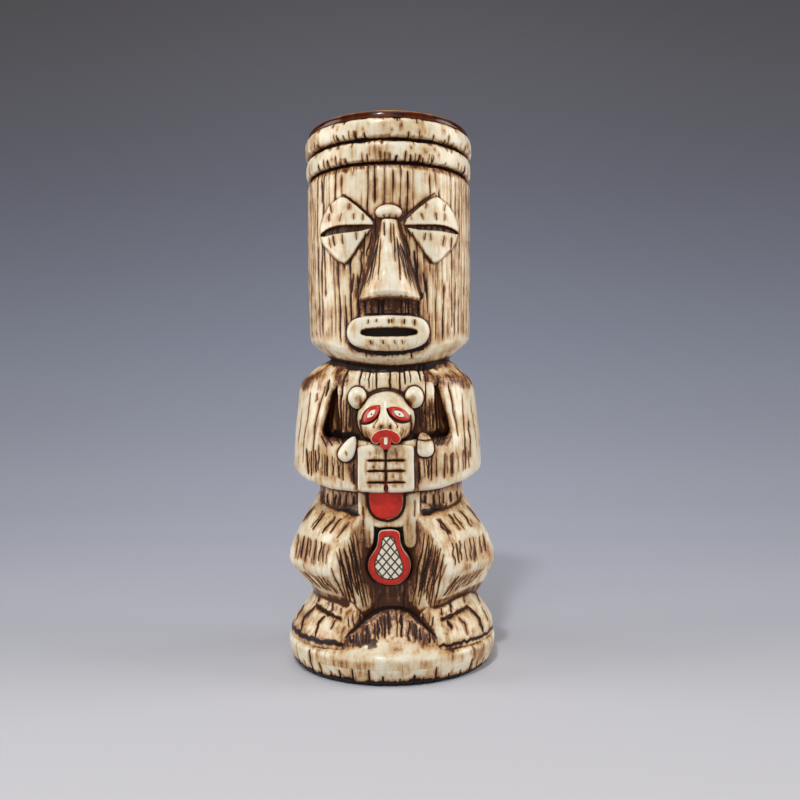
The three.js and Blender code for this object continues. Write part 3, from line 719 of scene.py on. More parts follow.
def hand(side):
    """Half of the panel that the two hands make, fingertip to fingertip."""
    low, high, wrist = 69.7, 87.2, 10.3
    half = wrist / 2

    def shape(x, y, z):
        u = (x - BEAVER_X) * side
        across = np.abs(u - half) - half + 0.05
        along = between(z, low - 0.2 + 0.004 * x * x, high - 0.012 * (u - 2) ** 2)
        solid = soft_max(soft_max(sleeve(x, y, z) - 1.3, across, 0.8), along, 1.5)
        return np.maximum(solid, -sleeve(x, y, z) - 2.2)

    return shape


def hand_marks(side):
    def marks(m):
        u = (m.x - BEAVER_X) * side
        end = 6.9 if side > 0 else 6.7
        for z in (81.2, 77.4, 73.2):
            m.stroke(u, m.z, [(-0.5, z), (3, z + 0.1), (end, z)], 0.42, 1.1, 0.8)
        m.groove(np.abs(u), 0.36, 1.0, 0.5)
        for z, size in ((85.2, 1.1), (71.2, 1.1)):
            m.blacken(ramp(size, size - 0.5, np.hypot(u, (m.z - z) * 0.6)))
        inked = outline(u, m.z, [(1.6, 85), (6.6, 85), (6.6, 71), (1.6, 71)])
        m.stain_and_shade(ramp(0.5, -1, inked) * (0.25 + 0.45 * m.noise(1.2, 0.7)))
        m.stroke(u, m.z, [(3.4, 85.6), (3.3, 83.4)], 0.2, 0.7, 0.15)
        m.stroke(u, m.z, [(7.2, 82), (7.1, 76)], 0.2, 0.55, 0.15)

    return marks


RIGHT_THUMB = [(-12.5, 90.2), (-14.6, 89.6), (-17.6, 86.6), (-19.2, 84), (-18.8, 81.9), (-16.6, 80.5), (-14.2, 81.4)]
RIGHT_THUMB += [(-12.8, 83.6), (-12, 87.6)]
LEFT_THUMB = [(9.9, 82.4), (15.9, 82.2), (16.3, 87), (14.6, 90.2), (11.4, 91.6), (10.2, 88)]


def thumb(points, proud):
    points = rounded(points, 2)

    def shape(x, y, z):
        swell = proud + 0.5 * ramp(0, -2.4, outline(x, z, points))
        solid = soft_max(outline(x, z, points), sleeve(x, y, z) - swell, 1.0)
        return np.maximum(solid, -sleeve(x, y, z) - 3.5)

    return shape


def thumb_marks(m):
    m.stroke(m.x, m.z, [(-16, 84.6), (-15.6, 83.2)], 0.3, 0.7, 0.15)
    m.stroke(m.x, m.z, [(10.4, 88.7), (13, 88.2), (15.8, 88.6)], 0.4, 0.8, 0.4)
    m.stain_and_shade(0.6 * ramp(88.6, 90, m.z) * (m.x > 0))
    m.stain_and_shade(0.3 * np.clip(m.noise(2.2), 0, 1))


# ---- Legs, feet and mound ----
THIGH_SIDE = {
    -1: [(20, 31), (27.7, 31.6), (30.5, 32.8), (34.5, 36.5), (39.1, 40.5), (41.3, 41.1), (44, 40.7), (48.2, 39.3)]
    + [(57.3, 34.8), (63.5, 30.9), (74, 25)],
    1: [(20, 32.4), (26, 34), (30.5, 36.9), (35.1, 39.6), (39.6, 41.1), (44.2, 41), (49.9, 38.9), (56.7, 34.6)]
    + [(62.4, 31.1), (74, 25)],
}
HIP = (30.4, -6, 63.8)  # the leg's landmarks, on the figure's left
GROIN = (12.8, -29.8, 60.8)
KNEE_TOP = (20, -34.4, 51.8)
KNEE_SIDE = (38, -8, 51.8)
KNEE_FOOT = (22, -34.6, 39.8)
KNEE_CORNER = (39.6, -9, 39.8)
ANKLE = (23.4, -22, 27.8)
CROTCH = (6, -24.6, 26)
LEG_MIDDLE = (22, -8, 45)


def leg(side):
    def shape(x, y, z):
        x = x * side
        bound = turned(np.hypot(x, np.where(y < 0, y / 0.95, y / 0.82)), z, THIGH_SIDE[side])
        solid = bound
        for corners in (
            (HIP, GROIN, KNEE_TOP),
            (KNEE_SIDE, KNEE_TOP, KNEE_FOOT),
            (KNEE_FOOT, KNEE_CORNER, ANKLE),
            (KNEE_TOP, KNEE_FOOT, CROTCH),
        ):
            solid = soft_max(solid, facet(x, y, z, corners, LEG_MIDDLE), 0.7)
        inner = np.where(y < 0, 3 - x, 4.0 - x)
        return soft_max(solid, np.maximum(inner, between(z, 21, 69)), 1.2)

    return shape


def leg_marks(side):
    def marks(m):
        thigh = fan(((15.4, 58.6), (20, 52.6)), ((29.4, 61.6), (35, 54.4)), 6, 160 + side)
        knee = fan(((22.2, 50.6), (23.4, 42)), ((36, 51), (37.2, 42.6)), 8, 170 + side)
        inner = fan(((13.2, 56), (8.2, 27)), ((19.6, 48), (16, 27)), 8, 180 + side)
        fine = fan(((15, 52), (9.4, 30)), ((20.8, 44), (16, 29)), 7, 184 + side, 0.6)
        shin = fan(((24, 37.6), (18.4, 30)), ((37, 37.4), (29, 31.4)), 8, 190 + side)
        for lines, size in ((thigh, 0.4), (knee, 0.34), (inner, 0.38), (fine, 0.24), (shin, 0.3)):
            m.strokes(sided(lines, side), size, 200 + side, 0.2, 0.55)
        u = m.x * side
        fold = path(u, m.z, [(12.6, 61.2), (20, 62.6), (29, 65.6)])
        m.groove(fold + 0.4 * m.noise(2.5) + 9 * ramp(-10, 0, m.y), 1.3, 1.15, 0.5)
        facets = outline(u, m.z, [(21, 51), (37.6, 51.4), (38.6, 41), (23, 41)])
        m.stain_and_shade(ramp(0.6, -1.4, facets) * (0.37 - 0.07 * side + 0.6 * m.noise(1.7, 0.3)) * m.front)
        inward = outline(u, m.z, [(2, 64), (12, 60), (19.4, 51.4), (21.6, 40.2), (15, 27), (2, 22)])
        deepest = outline(u, m.z, [(2, 64), (10, 58), (12, 48), (9, 30), (2, 22)])
        m.stain_and_shade(ramp(0.3, -3, inward) * (0.5 + 0.55 * m.noise(2.4, 0.3)) * m.front)
        m.stain_and_shade(ramp(2, -2, deepest) * (0.95 + 0.4 * m.noise(2, 0.3)) * m.front)
        below = outline(u, m.z, [(23, 39.4), (39, 38.6), (30, 30), (17, 28)])
        m.stain_and_shade(ramp(0, -3, below) * (0.35 + 0.55 * m.noise(2.4, 0.5)) * m.front)
        m.stain_and_shade(0.8 * ramp(30, 28.6, m.z - 0.08 * (u - 16)) * m.front * ramp(14, 17, u))
        m.grain(56, 36, 210 + side, 0.38, 0.4, depth=0.5, where=ramp(2, 10, m.y))
        m.grain(150, 36, 213 + side, 0.2, -0.4, power=0.55)
        m.stain_and_shade(0.5 * np.clip(1.5 * m.noise(5) - 0.2, 0, 1))
        around_tail(m)

    return marks


TOES_SIDE = {
    -1: [(11, 40.9), (14.6, 40.3), (19.1, 37.4), (21.9, 35.2), (24.8, 32.8), (28, 31.2), (31, 30)],
    1: [(11, 41), (14.6, 40.8), (16.8, 40.2), (21.4, 37.4), (26, 34), (31, 31)],
}


def foot(side):
    inside = (24, -8, 16)
    instep = ((17.6, -33.4, 20.9), (21.4, -37.4, 14), (7.6, -26.5, 23.6))

    def shape(x, y, z):
        x = x * side
        bound = turned(np.hypot(x, np.where(y < 0, y / 0.965, y / 0.84)), z, TOES_SIDE[side])
        solid = soft_max(bound, facet(x, y, z, instep, inside), 1.2)
        inner = np.where(y < 0, 5 - x, 4.0 - x)
        top = z - 21.5 - 1.2 * np.clip(x - 9, 0, 7.1) - 9 * ramp(-10, 0, y)
        return soft_max(solid, np.maximum(np.maximum(inner, top), between(z, 11.4, 30)), 1.2)

    return shape


def foot_marks(side):
    def marks(m):
        u = m.x * side
        wave = 0.3 * m.noise(2) + 0.2 * m.noise(1)
        ahead = 9 * ramp(-8, 0, m.y)
        ankle = path(u, m.z, [(16.2, 26.9), (29.6, 29)]) + ahead
        strap = path(u, m.z, [(18.8, 22), (28.6, 23.9)]) + ahead
        m.groove(ankle + wave, 0.62, 1.1, 0.9)
        m.groove(strap + wave, 0.6, 1.1, 0.7)
        nicks = [[(27.6, 28.2), (28.4, 25.4)], [(22, 26.6), (22.6, 23.6)], [(18.6, 25.4), (18.8, 23.6)]]
        toes = [[(29.6, 23.6), (33.8, 19), (35, 14.4)], [(25, 21.9), (27.5, 19.4), (28.4, 15.4)], [(20.8, 21.4), (22.4, 18.6)]]
        side_lines = [[(35.4, 22), (37.6, 17)], [(33, 27), (35, 23)]]
        m.strokes(sided(nicks, side), 0.3, 231 + side, 0.1, 0.4)
        m.strokes(sided(toes, side), 0.42, 233 + side, 0.15, 0.6)
        m.strokes(sided(side_lines, side), 0.3, 236 + side, 0.15, 0.4)
        inner = fan(((10, 25), (10, 21.4)), ((15.8, 23.6), (15.2, 19.4)), 4, 238 + side)
        m.strokes(sided(inner, side), 0.34, 239 + side, 0.1, 0.4)
        thick, rise = (1.1, 0.9) if side < 0 else (0.6, 0.3)
        ragged = 0.5 * noise(m.x, m.y, 0 * m.z, 2.4) + 0.3 * noise(m.x, m.y, 0 * m.z, 1)
        sole = np.abs(m.z - 13.2 - rise - ragged)
        m.groove(sole, thick * ramp(12, 22, u) + 0.3, 0.85 * ramp(22, 0, m.y), 0.3)
        m.grain(56, 38, 240 + side, 0.36, 0.4, depth=0.5, where=ramp(4, 12, m.y))
        m.grain(150, 38, 243 + side, 0.2, -0.6, power=0.5)
        m.stain_and_shade(0.42 * np.clip(1.5 * m.noise(4) - 0.1, 0, 1))
        m.stain_and_shade(0.5 * ramp(1.6, 0, np.abs(u - 14 - 0.2 * (27 - m.z)) - 2) * m.front * (0.6 + m.noise(2)))

    return marks


MOUND_CREST = [(-25.4, 7.5), (-21.4, 14.2), (-14.6, 18.9), (-7.5, 23.9), (-3.6, 25.7), (-0.3, 26.1), (3.6, 25.8), (7.1, 24.7)]
MOUND_CREST += [(14.3, 19.1), (22.4, 12.9), (26, 7.5)]


def mound(x, y, z):
    """A tent-shaped rise between the feet, whose crest runs back to the trunk."""
    xs, zs = zip(*MOUND_CREST)
    crest = np.interp(x, xs, zs) + 0.5
    face = facet(x, y, z, ((-20, -37.6, 13), (20, -37.6, 13), (0.4, -27, 26.5)), (0, -20, 12))
    solid = soft_max(soft_max(face, z - crest, 1.2), np.hypot(x, y) - PLINTH_R + 2.5, 2)
    solid = soft_min(solid, plinth(x, y, z) - 0.06, 3)
    return np.maximum(solid, np.maximum(np.abs(x) - 27, np.maximum(6.5 - z, y + 14)))


def mound_marks(m):
    plinth_marks(m)
    crest = path(m.x, m.z, MOUND_CREST[1:-1]) + 0.25 * m.noise(2) + 0.2 * m.noise(1)
    m.groove(crest, 1.05, 1.15, 0.4)
    left = fan(((-16.6, 16.4), (-16.4, 14)), ((-1, 24.6), (-0.6, 17)), 12, 250)
    right = fan(((2.2, 24.4), (2.2, 16.6)), ((18.6, 16), (18.6, 14)), 12, 251)
    m.strokes(left + right, 0.42, 252, 0.2, 0.5)
    m.stain_and_shade(ramp(11, 4, crest) * ramp(12, 16, m.z) * (0.95 + 0.6 * m.noise(2.0, 0.5)))
    patch = np.hypot((m.x + 8.6) / 6.4, (m.z - 15.2 - 0.04 * (m.x + 8.6)) / 1.7) - 1
    m.blacken(0.62 * ramp(0.2, -0.5, patch + 0.6 * m.noise(2) + 0.4 * m.noise(1)))
    m.stain_and_shade(0.5 * ramp(10.5, 8.5, m.z) * np.clip(m.noise(4) + 0.4, 0, 1))


# ---- Beaver ----
SKULL = (BEAVER_X + 0.1, -28.6, 96.2)
SKULL_X = SKULL[0]


def skull(x, y, z):
    """The beaver's head with its bridge and its muzzle."""
    dome = egg(x, y, z, SKULL, (10.6, 9.6, 10.3))
    bridge = rod(x, y, z, (SKULL_X, -35.6, 101.6), (SKULL_X, -38.2, 94.6), 1.7, 2.3)
    muzzle = egg(x, y, z, (SKULL_X, -35.4, 91.4), (6.4, 4.2, 4.6))
    return soft_min(soft_min(dome, bridge, 2.6), muzzle, 1.8)


def beaver_head(x, y, z):
    return np.maximum(soft_max(skull(x, y, z), 87.4 - z, 1.2), y + 22)


def almond(u, v, centre, tilt, long, wide):
    """A pointed eye shape: the overlap of two discs."""
    c, s = math.cos(tilt), math.sin(tilt)
    a = (u - centre[0]) * c + (v - centre[1]) * s
    b = -(u - centre[0]) * s + (v - centre[1]) * c
    radius = (long * long + wide * wide) / (2 * wide)
    return np.hypot(a, np.abs(b) + radius - wide) - radius


BEAVER_EYES = {-1: ((-6.5, 98.3), math.radians(44)), 1: ((3.6, 98.2), math.radians(-29))}
EYE_LONG, EYE_WIDE = 4.5, 2.1
LIPS = [(-3.8, 88.9), (-3.3, 90.1), (-1.8, 91.0), (0, 91.3), (1.8, 91.0), (3.3, 90.1), (3.8, 88.9)]


def lips_edge(x, z):
    """The lips' outline: an arch with swollen ends, and a cream rim outside the red."""
    ends = np.hypot(np.abs(x - SKULL_X) - 3.6, z - 89.2) - 1.75
    return np.minimum(path(x, z, moved(LIPS, SKULL_X)) - 1.5, ends)


def tongue_edge(x, z):
    return path(x, z, [(SKULL_X - 0.1, 90.4), (SKULL_X - 0.1, 87.4)]) - 1.95


def tongue_middle(x, z):
    return path(x, z, [(SKULL_X, 90.4), (SKULL_X, 87.8)]) - 0.75


def beaver_eye_edge(side, shrink=1.0):
    centre, tilt = BEAVER_EYES[side]
    return lambda x, z: almond(x, z, centre, tilt, EYE_LONG * shrink, EYE_WIDE * shrink)


def eye_rings(x, z):
    """The black rings painted round the eyes, thicker below, where the extra black is painted shadow under the raised
    eyes.
    """
    gaps = []
    for side, (centre, tilt) in BEAVER_EYES.items():
        low = (centre[0] - 0.45 * math.sin(tilt) * -side, centre[1] - 0.55)
        gaps.append(almond(x, z, low, tilt, EYE_LONG + 0.5, EYE_WIDE + 0.5))
    return np.minimum(*gaps)


def beaver_head_marks(m):
    cx = SKULL_X
    # Black eye rings, their extra thickness below painted shadow under the raised eyes.
    ring = eye_rings(m.x, m.z)
    m.blacken(ramp(0.12, -0.12, ring))
    m.sink = np.maximum(m.sink, 0.35 * ramp(0.2, -0.2, ring))
    m.stroke(m.x, m.z, [(cx - 9.4, 96), (cx - 9.2, 93), (cx - 8.4, 90)], 0.3, 1, 0.3)
    m.stroke(m.x, m.z, [(cx + 9, 97.6), (cx + 9.3, 94), (cx + 8.6, 89)], 0.36, 1.1, 0.35)
    for side in (-1, 1):
        m.stroke(m.x, m.z, [(cx + 2 * side, 99), (cx + 3.2 * side, 95.6), (cx + 4.4 * side, 93.4)], 0.2, 0.8, 0.2)
        m.groove(np.hypot(m.x - cx - 1.6 * side, (m.z - 93.6) * 0.7), 0.5, 1.2, 0.4)
        m.groove(np.hypot(m.x - cx - 4.1 * side, (m.z - 93.4) * 0.5), 0.26, 1, 0.2)
        m.stain_and_shade(0.7 * np.exp(-(((m.x - cx - 6.4 * side) / 2) ** 2) - ((m.z - 91.6) / 2.2) ** 2) * (1 + 0.5 * m.noise(1.6)))
    m.blacken(ramp(88.9, 88.1, m.z - 0.05 * np.abs(m.x - cx)))
    m.stain_and_shade(0.9 * ramp(90, 88.4, m.z))


def ear(side):
    centre = (SKULL_X + 10.5 * side, -30.8, 104.2)

    def shape(x, y, z):
        disc = egg(x, y, z, centre, (3.4, 2.8, 4.0))
        return soft_max(disc, -egg(x, y, z, (centre[0] - 1.0 * side, -34.2, 103.2), (1.9, 1.2, 2.2)), 0.8)

    return shape


def ear_marks(side):
    def marks(m):
        notch = np.hypot(m.x - SKULL_X - 8.0 * side, m.z - 101.8)
        m.groove(notch, 1.0, 1.0, 0.3)
        m.stain_and_shade(0.7 * ramp(3.4, 1.2, notch))
        # Brown in the ear's hollow: painted shade inside it.
        m.stain_and_shade(0.45 * ramp(2.2, 0.8, np.hypot(m.x - SKULL_X - 9.9 * side, m.z - 103.6)))

    return marks


def on_skull(edge, height, base=0.7):
    """A relief inside this outline, standing height proud of the beaver's head."""

    def shape(x, y, z):
        face = skull(x, y, z)
        return np.maximum(soft_max(edge(x, z), face - height, 0.4), np.maximum(-face - base, y + 28))

    return shape


def tongue(x, y, z):
    return soft_max(tongue_edge(x, z), np.abs(y + 38.6 - 0.1 * (z - 88)) - 1.3, 0.7)


BELLY_X = -1.6
TAIL_X = -0.5
BELLY = [(-6.3, 74), (-6.3, 65.2), (-5.5, 62.2), (-3.6, 60), (0, 59), (3.6, 60), (5.5, 62.2), (6.3, 65.2), (6.3, 74)]
TRUNK = [(-11.9, 74), (-11.9, 57), (-7, 56.8), (-4.4, 56), (-0.6, 55.4), (3.4, 56), (6, 56.8), (10.8, 57), (11.1, 74)]
BEAVER_LEG = [(-2.8, 60), (2.8, 60), (2.7, 50.6), (1.2, 48.2), (-1.4, 48.4), (-2.7, 51)]
BEAVER_LEG_X = {-1: -8.8, 1: 7.4}
TAIL = [(-3.9, 55.4), (-4.1, 51), (-5, 48), (-7.4, 45), (-8.2, 41.6), (-7.2, 38), (-4.2, 35.2), (0, 34.4)]
TAIL += [(-u, v) for u, v in TAIL[-2::-1]]
TAIL_OUTLINE = moved(rounded(TAIL, 2), TAIL_X)
WEB = [(-2.4, 53), (-2.8, 49), (-4.6, 45.4), (-5.6, 42), (-4.6, 38.8), (-1.6, 37), (1.6, 36.8), (4.6, 38.4)]
WEB += [(5.2, 41.6), (3.8, 45.8), (2.6, 49), (1.8, 53)]
WEB_OUTLINE = moved(rounded(WEB, 2), TAIL_X)
BELLY_OUTLINE = moved(rounded(BELLY, 2), BELLY_X)


def on_torso(points, back, front, blend=1.0):
    """A relief inside this outline on the trunk, from back to front millimetres proud of it."""

    def shape(x, y, z):
        body = turned(np.hypot(x, y / 0.97), z, TORSO_PROFILE)
        return np.maximum(soft_max(outline(x, z, points), body - front, blend), np.maximum(back - body, y + 8))

    return shape


def beaver_body_marks(m):
    """The black ring round the red belly, and stain on the beaver's legs and round its tail."""
    ring = outline(m.x, m.z, BELLY_OUTLINE) - 0.55
    m.groove(ring - 0.12 * np.sign(m.x - BELLY_X), 0.62, 1.15, 0.35)
    m.stain_and_shade(0.75 * ramp(57.6, 55.8, m.z) * ramp(6, 4, np.abs(m.x - TAIL_X)))
    shins = ramp(58.6, 54, m.z) * ramp(4.6, 6, np.abs(m.x - TAIL_X))
    m.stain_and_shade(shins * (0.5 + 0.5 * m.noise(2, 0.4)) * ramp(3.4, 1.2, np.abs(np.abs(m.x + 0.7) - 8)))
    m.strokes([[(9.2, 66), (9, 60)], [(-10, 64), (-9.9, 59.5)]], 0.22, 260, 0.08, 0.2)
    m.stain_and_shade(0.35 * ramp(5.5, 9, np.abs(m.x - BELLY_X)) * (0.6 + m.noise(2.2, 0.4)))
    around_tail(m)


# ---- From field to mesh ----
BLOCK = 4  # fine voxels along one side of a coarse one
POOL = ThreadPoolExecutor(4)


def in_parts(function, *arrays):
    """The function over the arrays, worked out a part at a time on several threads."""
    count = max(1, len(arrays[0]) // 30000)
    parts = zip(*(np.array_split(a, count) for a in arrays))
    return np.concatenate(list(POOL.map(lambda part: function(*part), parts)), axis=-1)


def sample(piece):
    """The piece's field on a grid of voxels, worked out only near the surface, and the grid's corner."""
    shape, marks, voxel, deep = piece["shape"], piece["marks"], piece["voxel"], piece["deep"]
    step = voxel * BLOCK
    low = piece["low"] - step
    count = np.ceil((piece["high"] + step - low) / step).astype(int)
    centres = [low[i] + (np.arange(count[i]) + 0.5) * step for i in range(3)]

    def carved(x, y, z):
        field = shape(x, y, z)
        near = np.abs(field) < deep
        m = Marks(x[near], y[near], z[near])
        marks(m)
        field[near] += m.sink + 0.12 * m.noise(5) + 0.05 * m.noise(1.7)
        return hollowed(field, x, y, z)

    def hollowed(field, x, y, z):
        return np.maximum(field, -well(x, y, z)) if piece["hollow"] else field

    x, y, z = (v.ravel() for v in np.meshgrid(*centres, indexing="ij"))
    rough = in_parts(lambda *at: hollowed(shape(*at), *at), x, y, z).reshape(count)
    reach = step * 1.15 + deep
    blocks = np.argwhere(np.abs(rough) < reach)
    offsets = np.array(list(itertools.product(range(BLOCK), repeat=3)))
    places = (blocks[:, None, :] * BLOCK + offsets[None]).reshape(-1, 3)
    fine = in_parts(carved, *(low[i] + (places[:, i] + 0.5) * voxel for i in range(3)))
    field = np.where(rough < 0, -reach, reach).astype(np.float32)
    for axis in range(3):
        field = np.repeat(field, BLOCK, axis)
    field[tuple(places.T)] = fine
    return field, low + voxel / 2


def surface(field, origin, voxel):
    """Points in millimetres and the four-cornered faces of the field's zero surface."""
    grid = openvdb.FloatGrid(float(field.max()))
    grid.copyFromArray(np.ascontiguousarray(field))
    points, quads = grid.convertToQuads(0.0)
    points = points * voxel + origin
    a, b, c, d = (points[quads[:, i]] for i in range(4))
    volume = np.einsum("ij,ij->", a, np.cross(b, c)) + np.einsum("ij,ij->", a, np.cross(c, d))
    if volume < 0:
        quads = quads[:, ::-1]
    return points, quads


def new_object(name, points, faces):
    """A smooth-shaded object from points in millimetres and faces that all have as many corners."""
    mesh = bpy.data.meshes.new(name)
    sides = faces.shape[1]
    mesh.vertices.add(len(points))
    mesh.vertices.foreach_set("co", (points * MM).astype(np.float32).ravel())
    mesh.loops.add(faces.size)
    mesh.loops.foreach_set("vertex_index", np.ascontiguousarray(faces, dtype=np.int32).ravel())
    mesh.polygons.add(len(faces))
    mesh.polygons.foreach_set("loop_start", np.arange(0, faces.size, sides, dtype=np.int32))
    mesh.update(calc_edges=True)
    mesh.validate()
    mesh.shade_smooth()
    obj = bpy.data.objects.new(name, mesh)
    bpy.context.scene.collection.objects.link(obj)
    return obj


def store(obj, name, values):
    """Keep one number at each point of the object's mesh, for its material."""
    layer = obj.data.attributes.new(name, "FLOAT", "POINT")
    layer.data.foreach_set("value", np.ascontiguousarray(values, dtype=np.float32))


# ---- Folds: how much of a place's surroundings is clay ----
FOLD_STEP = 0.9
# How much clay surrounds a place, over two radii; the clay's colour darkens folds by it, as painted shade and as pooled
# stain.
SURROUNDINGS = {"crease": 1.1, "shade": 3.2}  # their radii


def blurred(values, sigma):
    """A Gaussian blur along each axis."""
    reach = int(math.ceil(2.5 * sigma))
    weights = np.exp(-0.5 * (np.arange(-reach, reach + 1) / sigma) ** 2).astype(np.float32)
    weights /= weights.sum()
    for axis in range(3):
        padded = np.pad(values, [(reach, reach) if i == axis else (0, 0) for i in range(3)], mode="edge")
        size = values.shape[axis]
        values = sum(w * np.moveaxis(np.moveaxis(padded, axis, 0)[k : k + size], 0, axis) for k, w in enumerate(weights))
    return values


class Folds:
    """Where the whole figure is hollow or raised: above 0 in a fold, below 0 on an edge. Folds are darkened by it as
    painted shade, and as stain pooled in them.
    """

    def __init__(self, pieces):
        edge = PLINTH_R + 5
        self.low = np.array([-edge, -edge, -5.0])
        count = np.ceil((np.array([edge, edge, HEIGHT + 5]) - self.low) / FOLD_STEP).astype(int)
        axes = [self.low[i] + (np.arange(count[i]) + 0.5) * FOLD_STEP for i in range(3)]
        union = np.full(count, 9.0, np.float32)
        for piece in pieces:
            part = tuple(
                slice(*np.searchsorted(axes[i], (piece["low"][i], piece["high"][i]))) for i in range(3)
            )
            grid = np.meshgrid(*(axes[i][part[i]] for i in range(3)), indexing="ij")
            field = in_parts(piece["shape"], *(v.ravel() for v in grid)).reshape(grid[0].shape)
            union[part] = np.minimum(union[part], field)
        clay = np.clip(0.5 - union / FOLD_STEP, 0, 1).astype(np.float32)
        self.grids = {name: blurred(clay, radius / FOLD_STEP) - 0.5 for name, radius in SURROUNDINGS.items()}

    def at(self, points, name):
        grid = self.grids[name]
        spot = (points - self.low) / FOLD_STEP - 0.5
        cell = np.clip(np.floor(spot).astype(int), 0, np.array(grid.shape) - 2)
        part = spot - cell
        total = 0
        for corner in itertools.product((0, 1), repeat=3):
            weight = np.prod([part[:, i] if c else 1 - part[:, i] for i, c in enumerate(corner)], axis=0)
            total = total + weight * grid[tuple((cell + corner).T)]
        return total


# ---- Materials ----
class Graph:
    """A material's nodes, made one call at a time."""

    def __init__(self, name):
        self.material = bpy.data.materials.new(name)
        self.material.use_nodes = True
        self.tree = self.material.node_tree
        self.shader = self.tree.nodes["Principled BSDF"]

    def node(self, kind, inputs=None, **settings):
        made = self.tree.nodes.new(kind)
        for key, value in settings.items():
            setattr(made, key, value)
        for key, value in (inputs or {}).items():
            self.set(made.inputs[key], value)
        return made

    def set(self, socket, value):
        if isinstance(value, bpy.types.NodeSocket):
            self.tree.links.new(value, socket)
        else:
            socket.default_value = value

    def number(self, name):
        """A number kept at the mesh's points."""
        return self.node("ShaderNodeAttribute", attribute_name=name).outputs["Fac"]

    def math(self, operation, a, b=0.0):
        return self.node("ShaderNodeMath", {0: a, 1: b}, operation=operation).outputs[0]

    def total(self, *values):
        result = values[0]
        for value in values[1:]:
            result = self.math("ADD", result, value)
        return result

    def noise(self, scale, detail=3.0, stretch=(1, 1, 1)):
        where = self.node("ShaderNodeTexCoord").outputs["Object"]
        mapped = self.node("ShaderNodeMapping", {"Vector": where, "Scale": stretch}).outputs[0]
        return self.node("ShaderNodeTexNoise", {"Vector": mapped, "Scale": scale, "Detail": detail}).outputs["Fac"]

    def between(self, value, low, high, to_low=0.0, to_high=1.0):
        inputs = {"Value": value, "From Min": low, "From Max": high, "To Min": to_low, "To Max": to_high}
        return self.node("ShaderNodeMapRange", inputs, interpolation_type="SMOOTHSTEP").outputs[0]

    def ramp(self, value, stops):
        made = self.node("ShaderNodeValToRGB", {"Fac": value})
        elements = made.color_ramp.elements
        while len(elements) < len(stops):
            elements.new(0.5)
        for element, (place, colour) in zip(elements, stops):
            element.position = place
            element.color = (*colour, 1)
        return made.outputs["Color"]

    def mix(self, share, a, b):
        made = self.node("ShaderNodeMix", data_type="RGBA")
        self.set(made.inputs["Factor"], share)
        for key, value in (("A", a), ("B", b)):
            socket = next(s for s in made.inputs if s.name == key and s.type == "RGBA")
            self.set(socket, value if isinstance(value, bpy.types.NodeSocket) else (*value, 1))
        return next(s for s in made.outputs if s.type == "RGBA")

    def bump(self, height, strength, distance):
        inputs = {"Height": height, "Strength": strength, "Distance": distance}
        self.set(self.shader.inputs["Normal"], self.node("ShaderNodeBump", inputs).outputs[0])


IVORY = (0.82, 0.75, 0.60)
CREAM = (0.74, 0.63, 0.44)
SAND = (0.61, 0.42, 0.22)
TAN = (0.40, 0.20, 0.072)
BROWN = (0.16, 0.051, 0.015)
UMBER = (0.048, 0.017, 0.008)
BLACK = (0.016, 0.009, 0.008)
RED = (0.56, 0.020, 0.007)


def stained_and_shaded(graph):
    """The clay's colour: cream where it was wiped clean, brown to black where the stain stayed, and darker in its folds
    as painted shade.
    """
    patches = graph.noise(130, 4)
    streaks = graph.noise(800, 4, (1, 1, 0.14))
    grit = graph.noise(1300, 3)
    wash_and_shade = graph.math("MULTIPLY", graph.number("wash_and_shade"), graph.between(streaks, 0.3, 0.7, 0.42, 0.86))
    wash_and_shade = graph.math("MULTIPLY", wash_and_shade, graph.between(grit, 0.3, 0.7, 0.85, 1.15))
    # crease and shade darken the folds: painted shade, and stain pooled in them.
    crease = graph.between(graph.number("crease"), 0.02, 0.2, 0.0, 0.75)
    crease = graph.math("MULTIPLY", crease, graph.between(grit, 0.3, 0.7, 0.6, 1.15))
    shade = graph.between(graph.number("shade"), 0.03, 0.26, 0.0, 0.4)
    shade = graph.math("MULTIPLY", shade, graph.between(streaks, 0.3, 0.7, 0.5, 1.3))
    edge = graph.between(graph.number("crease"), -0.13, -0.02, -0.12, 0.0)
    base = graph.total(graph.between(patches, 0.4, 0.72, 0.02, 0.24), graph.between(streaks, 0.5, 0.74, 0.0, 0.16), edge)
    stain_and_shade = graph.math("MINIMUM", graph.total(base, wash_and_shade, crease, shade), 0.8)
    cut = graph.between(graph.number("cut"), 0.14, 0.8, 0.0, 1.0)
    amount = graph.math("MAXIMUM", stain_and_shade, cut)
    stops = [(0.0, IVORY), (0.12, CREAM), (0.28, SAND), (0.46, TAN), (0.66, BROWN), (0.84, UMBER), (1.0, BLACK)]
    return amount, graph.ramp(amount, stops)


def clay_material():
    graph = Graph("stained_clay")
    amount, colour = stained_and_shaded(graph)
    graph.set(graph.shader.inputs["Base Color"], colour)
    rough = graph.between(graph.noise(500, 4), 0.3, 0.7, 0.30, 0.42)
    graph.set(graph.shader.inputs["Roughness"], graph.math("ADD", rough, graph.between(amount, 0.7, 1.1, 0.0, 0.06)))
    graph.set(graph.shader.inputs["Specular IOR Level"], graph.between(amount, 0.5, 1.0, 0.42, 0.12))
    graph.set(graph.shader.inputs["Coat Weight"], graph.between(amount, 0.4, 0.9, 0.2, 0.02))
    graph.shader.inputs["Coat Roughness"].default_value = 0.2
    graph.bump(graph.noise(900, 5), 0.3, 0.0002)
    return graph.material


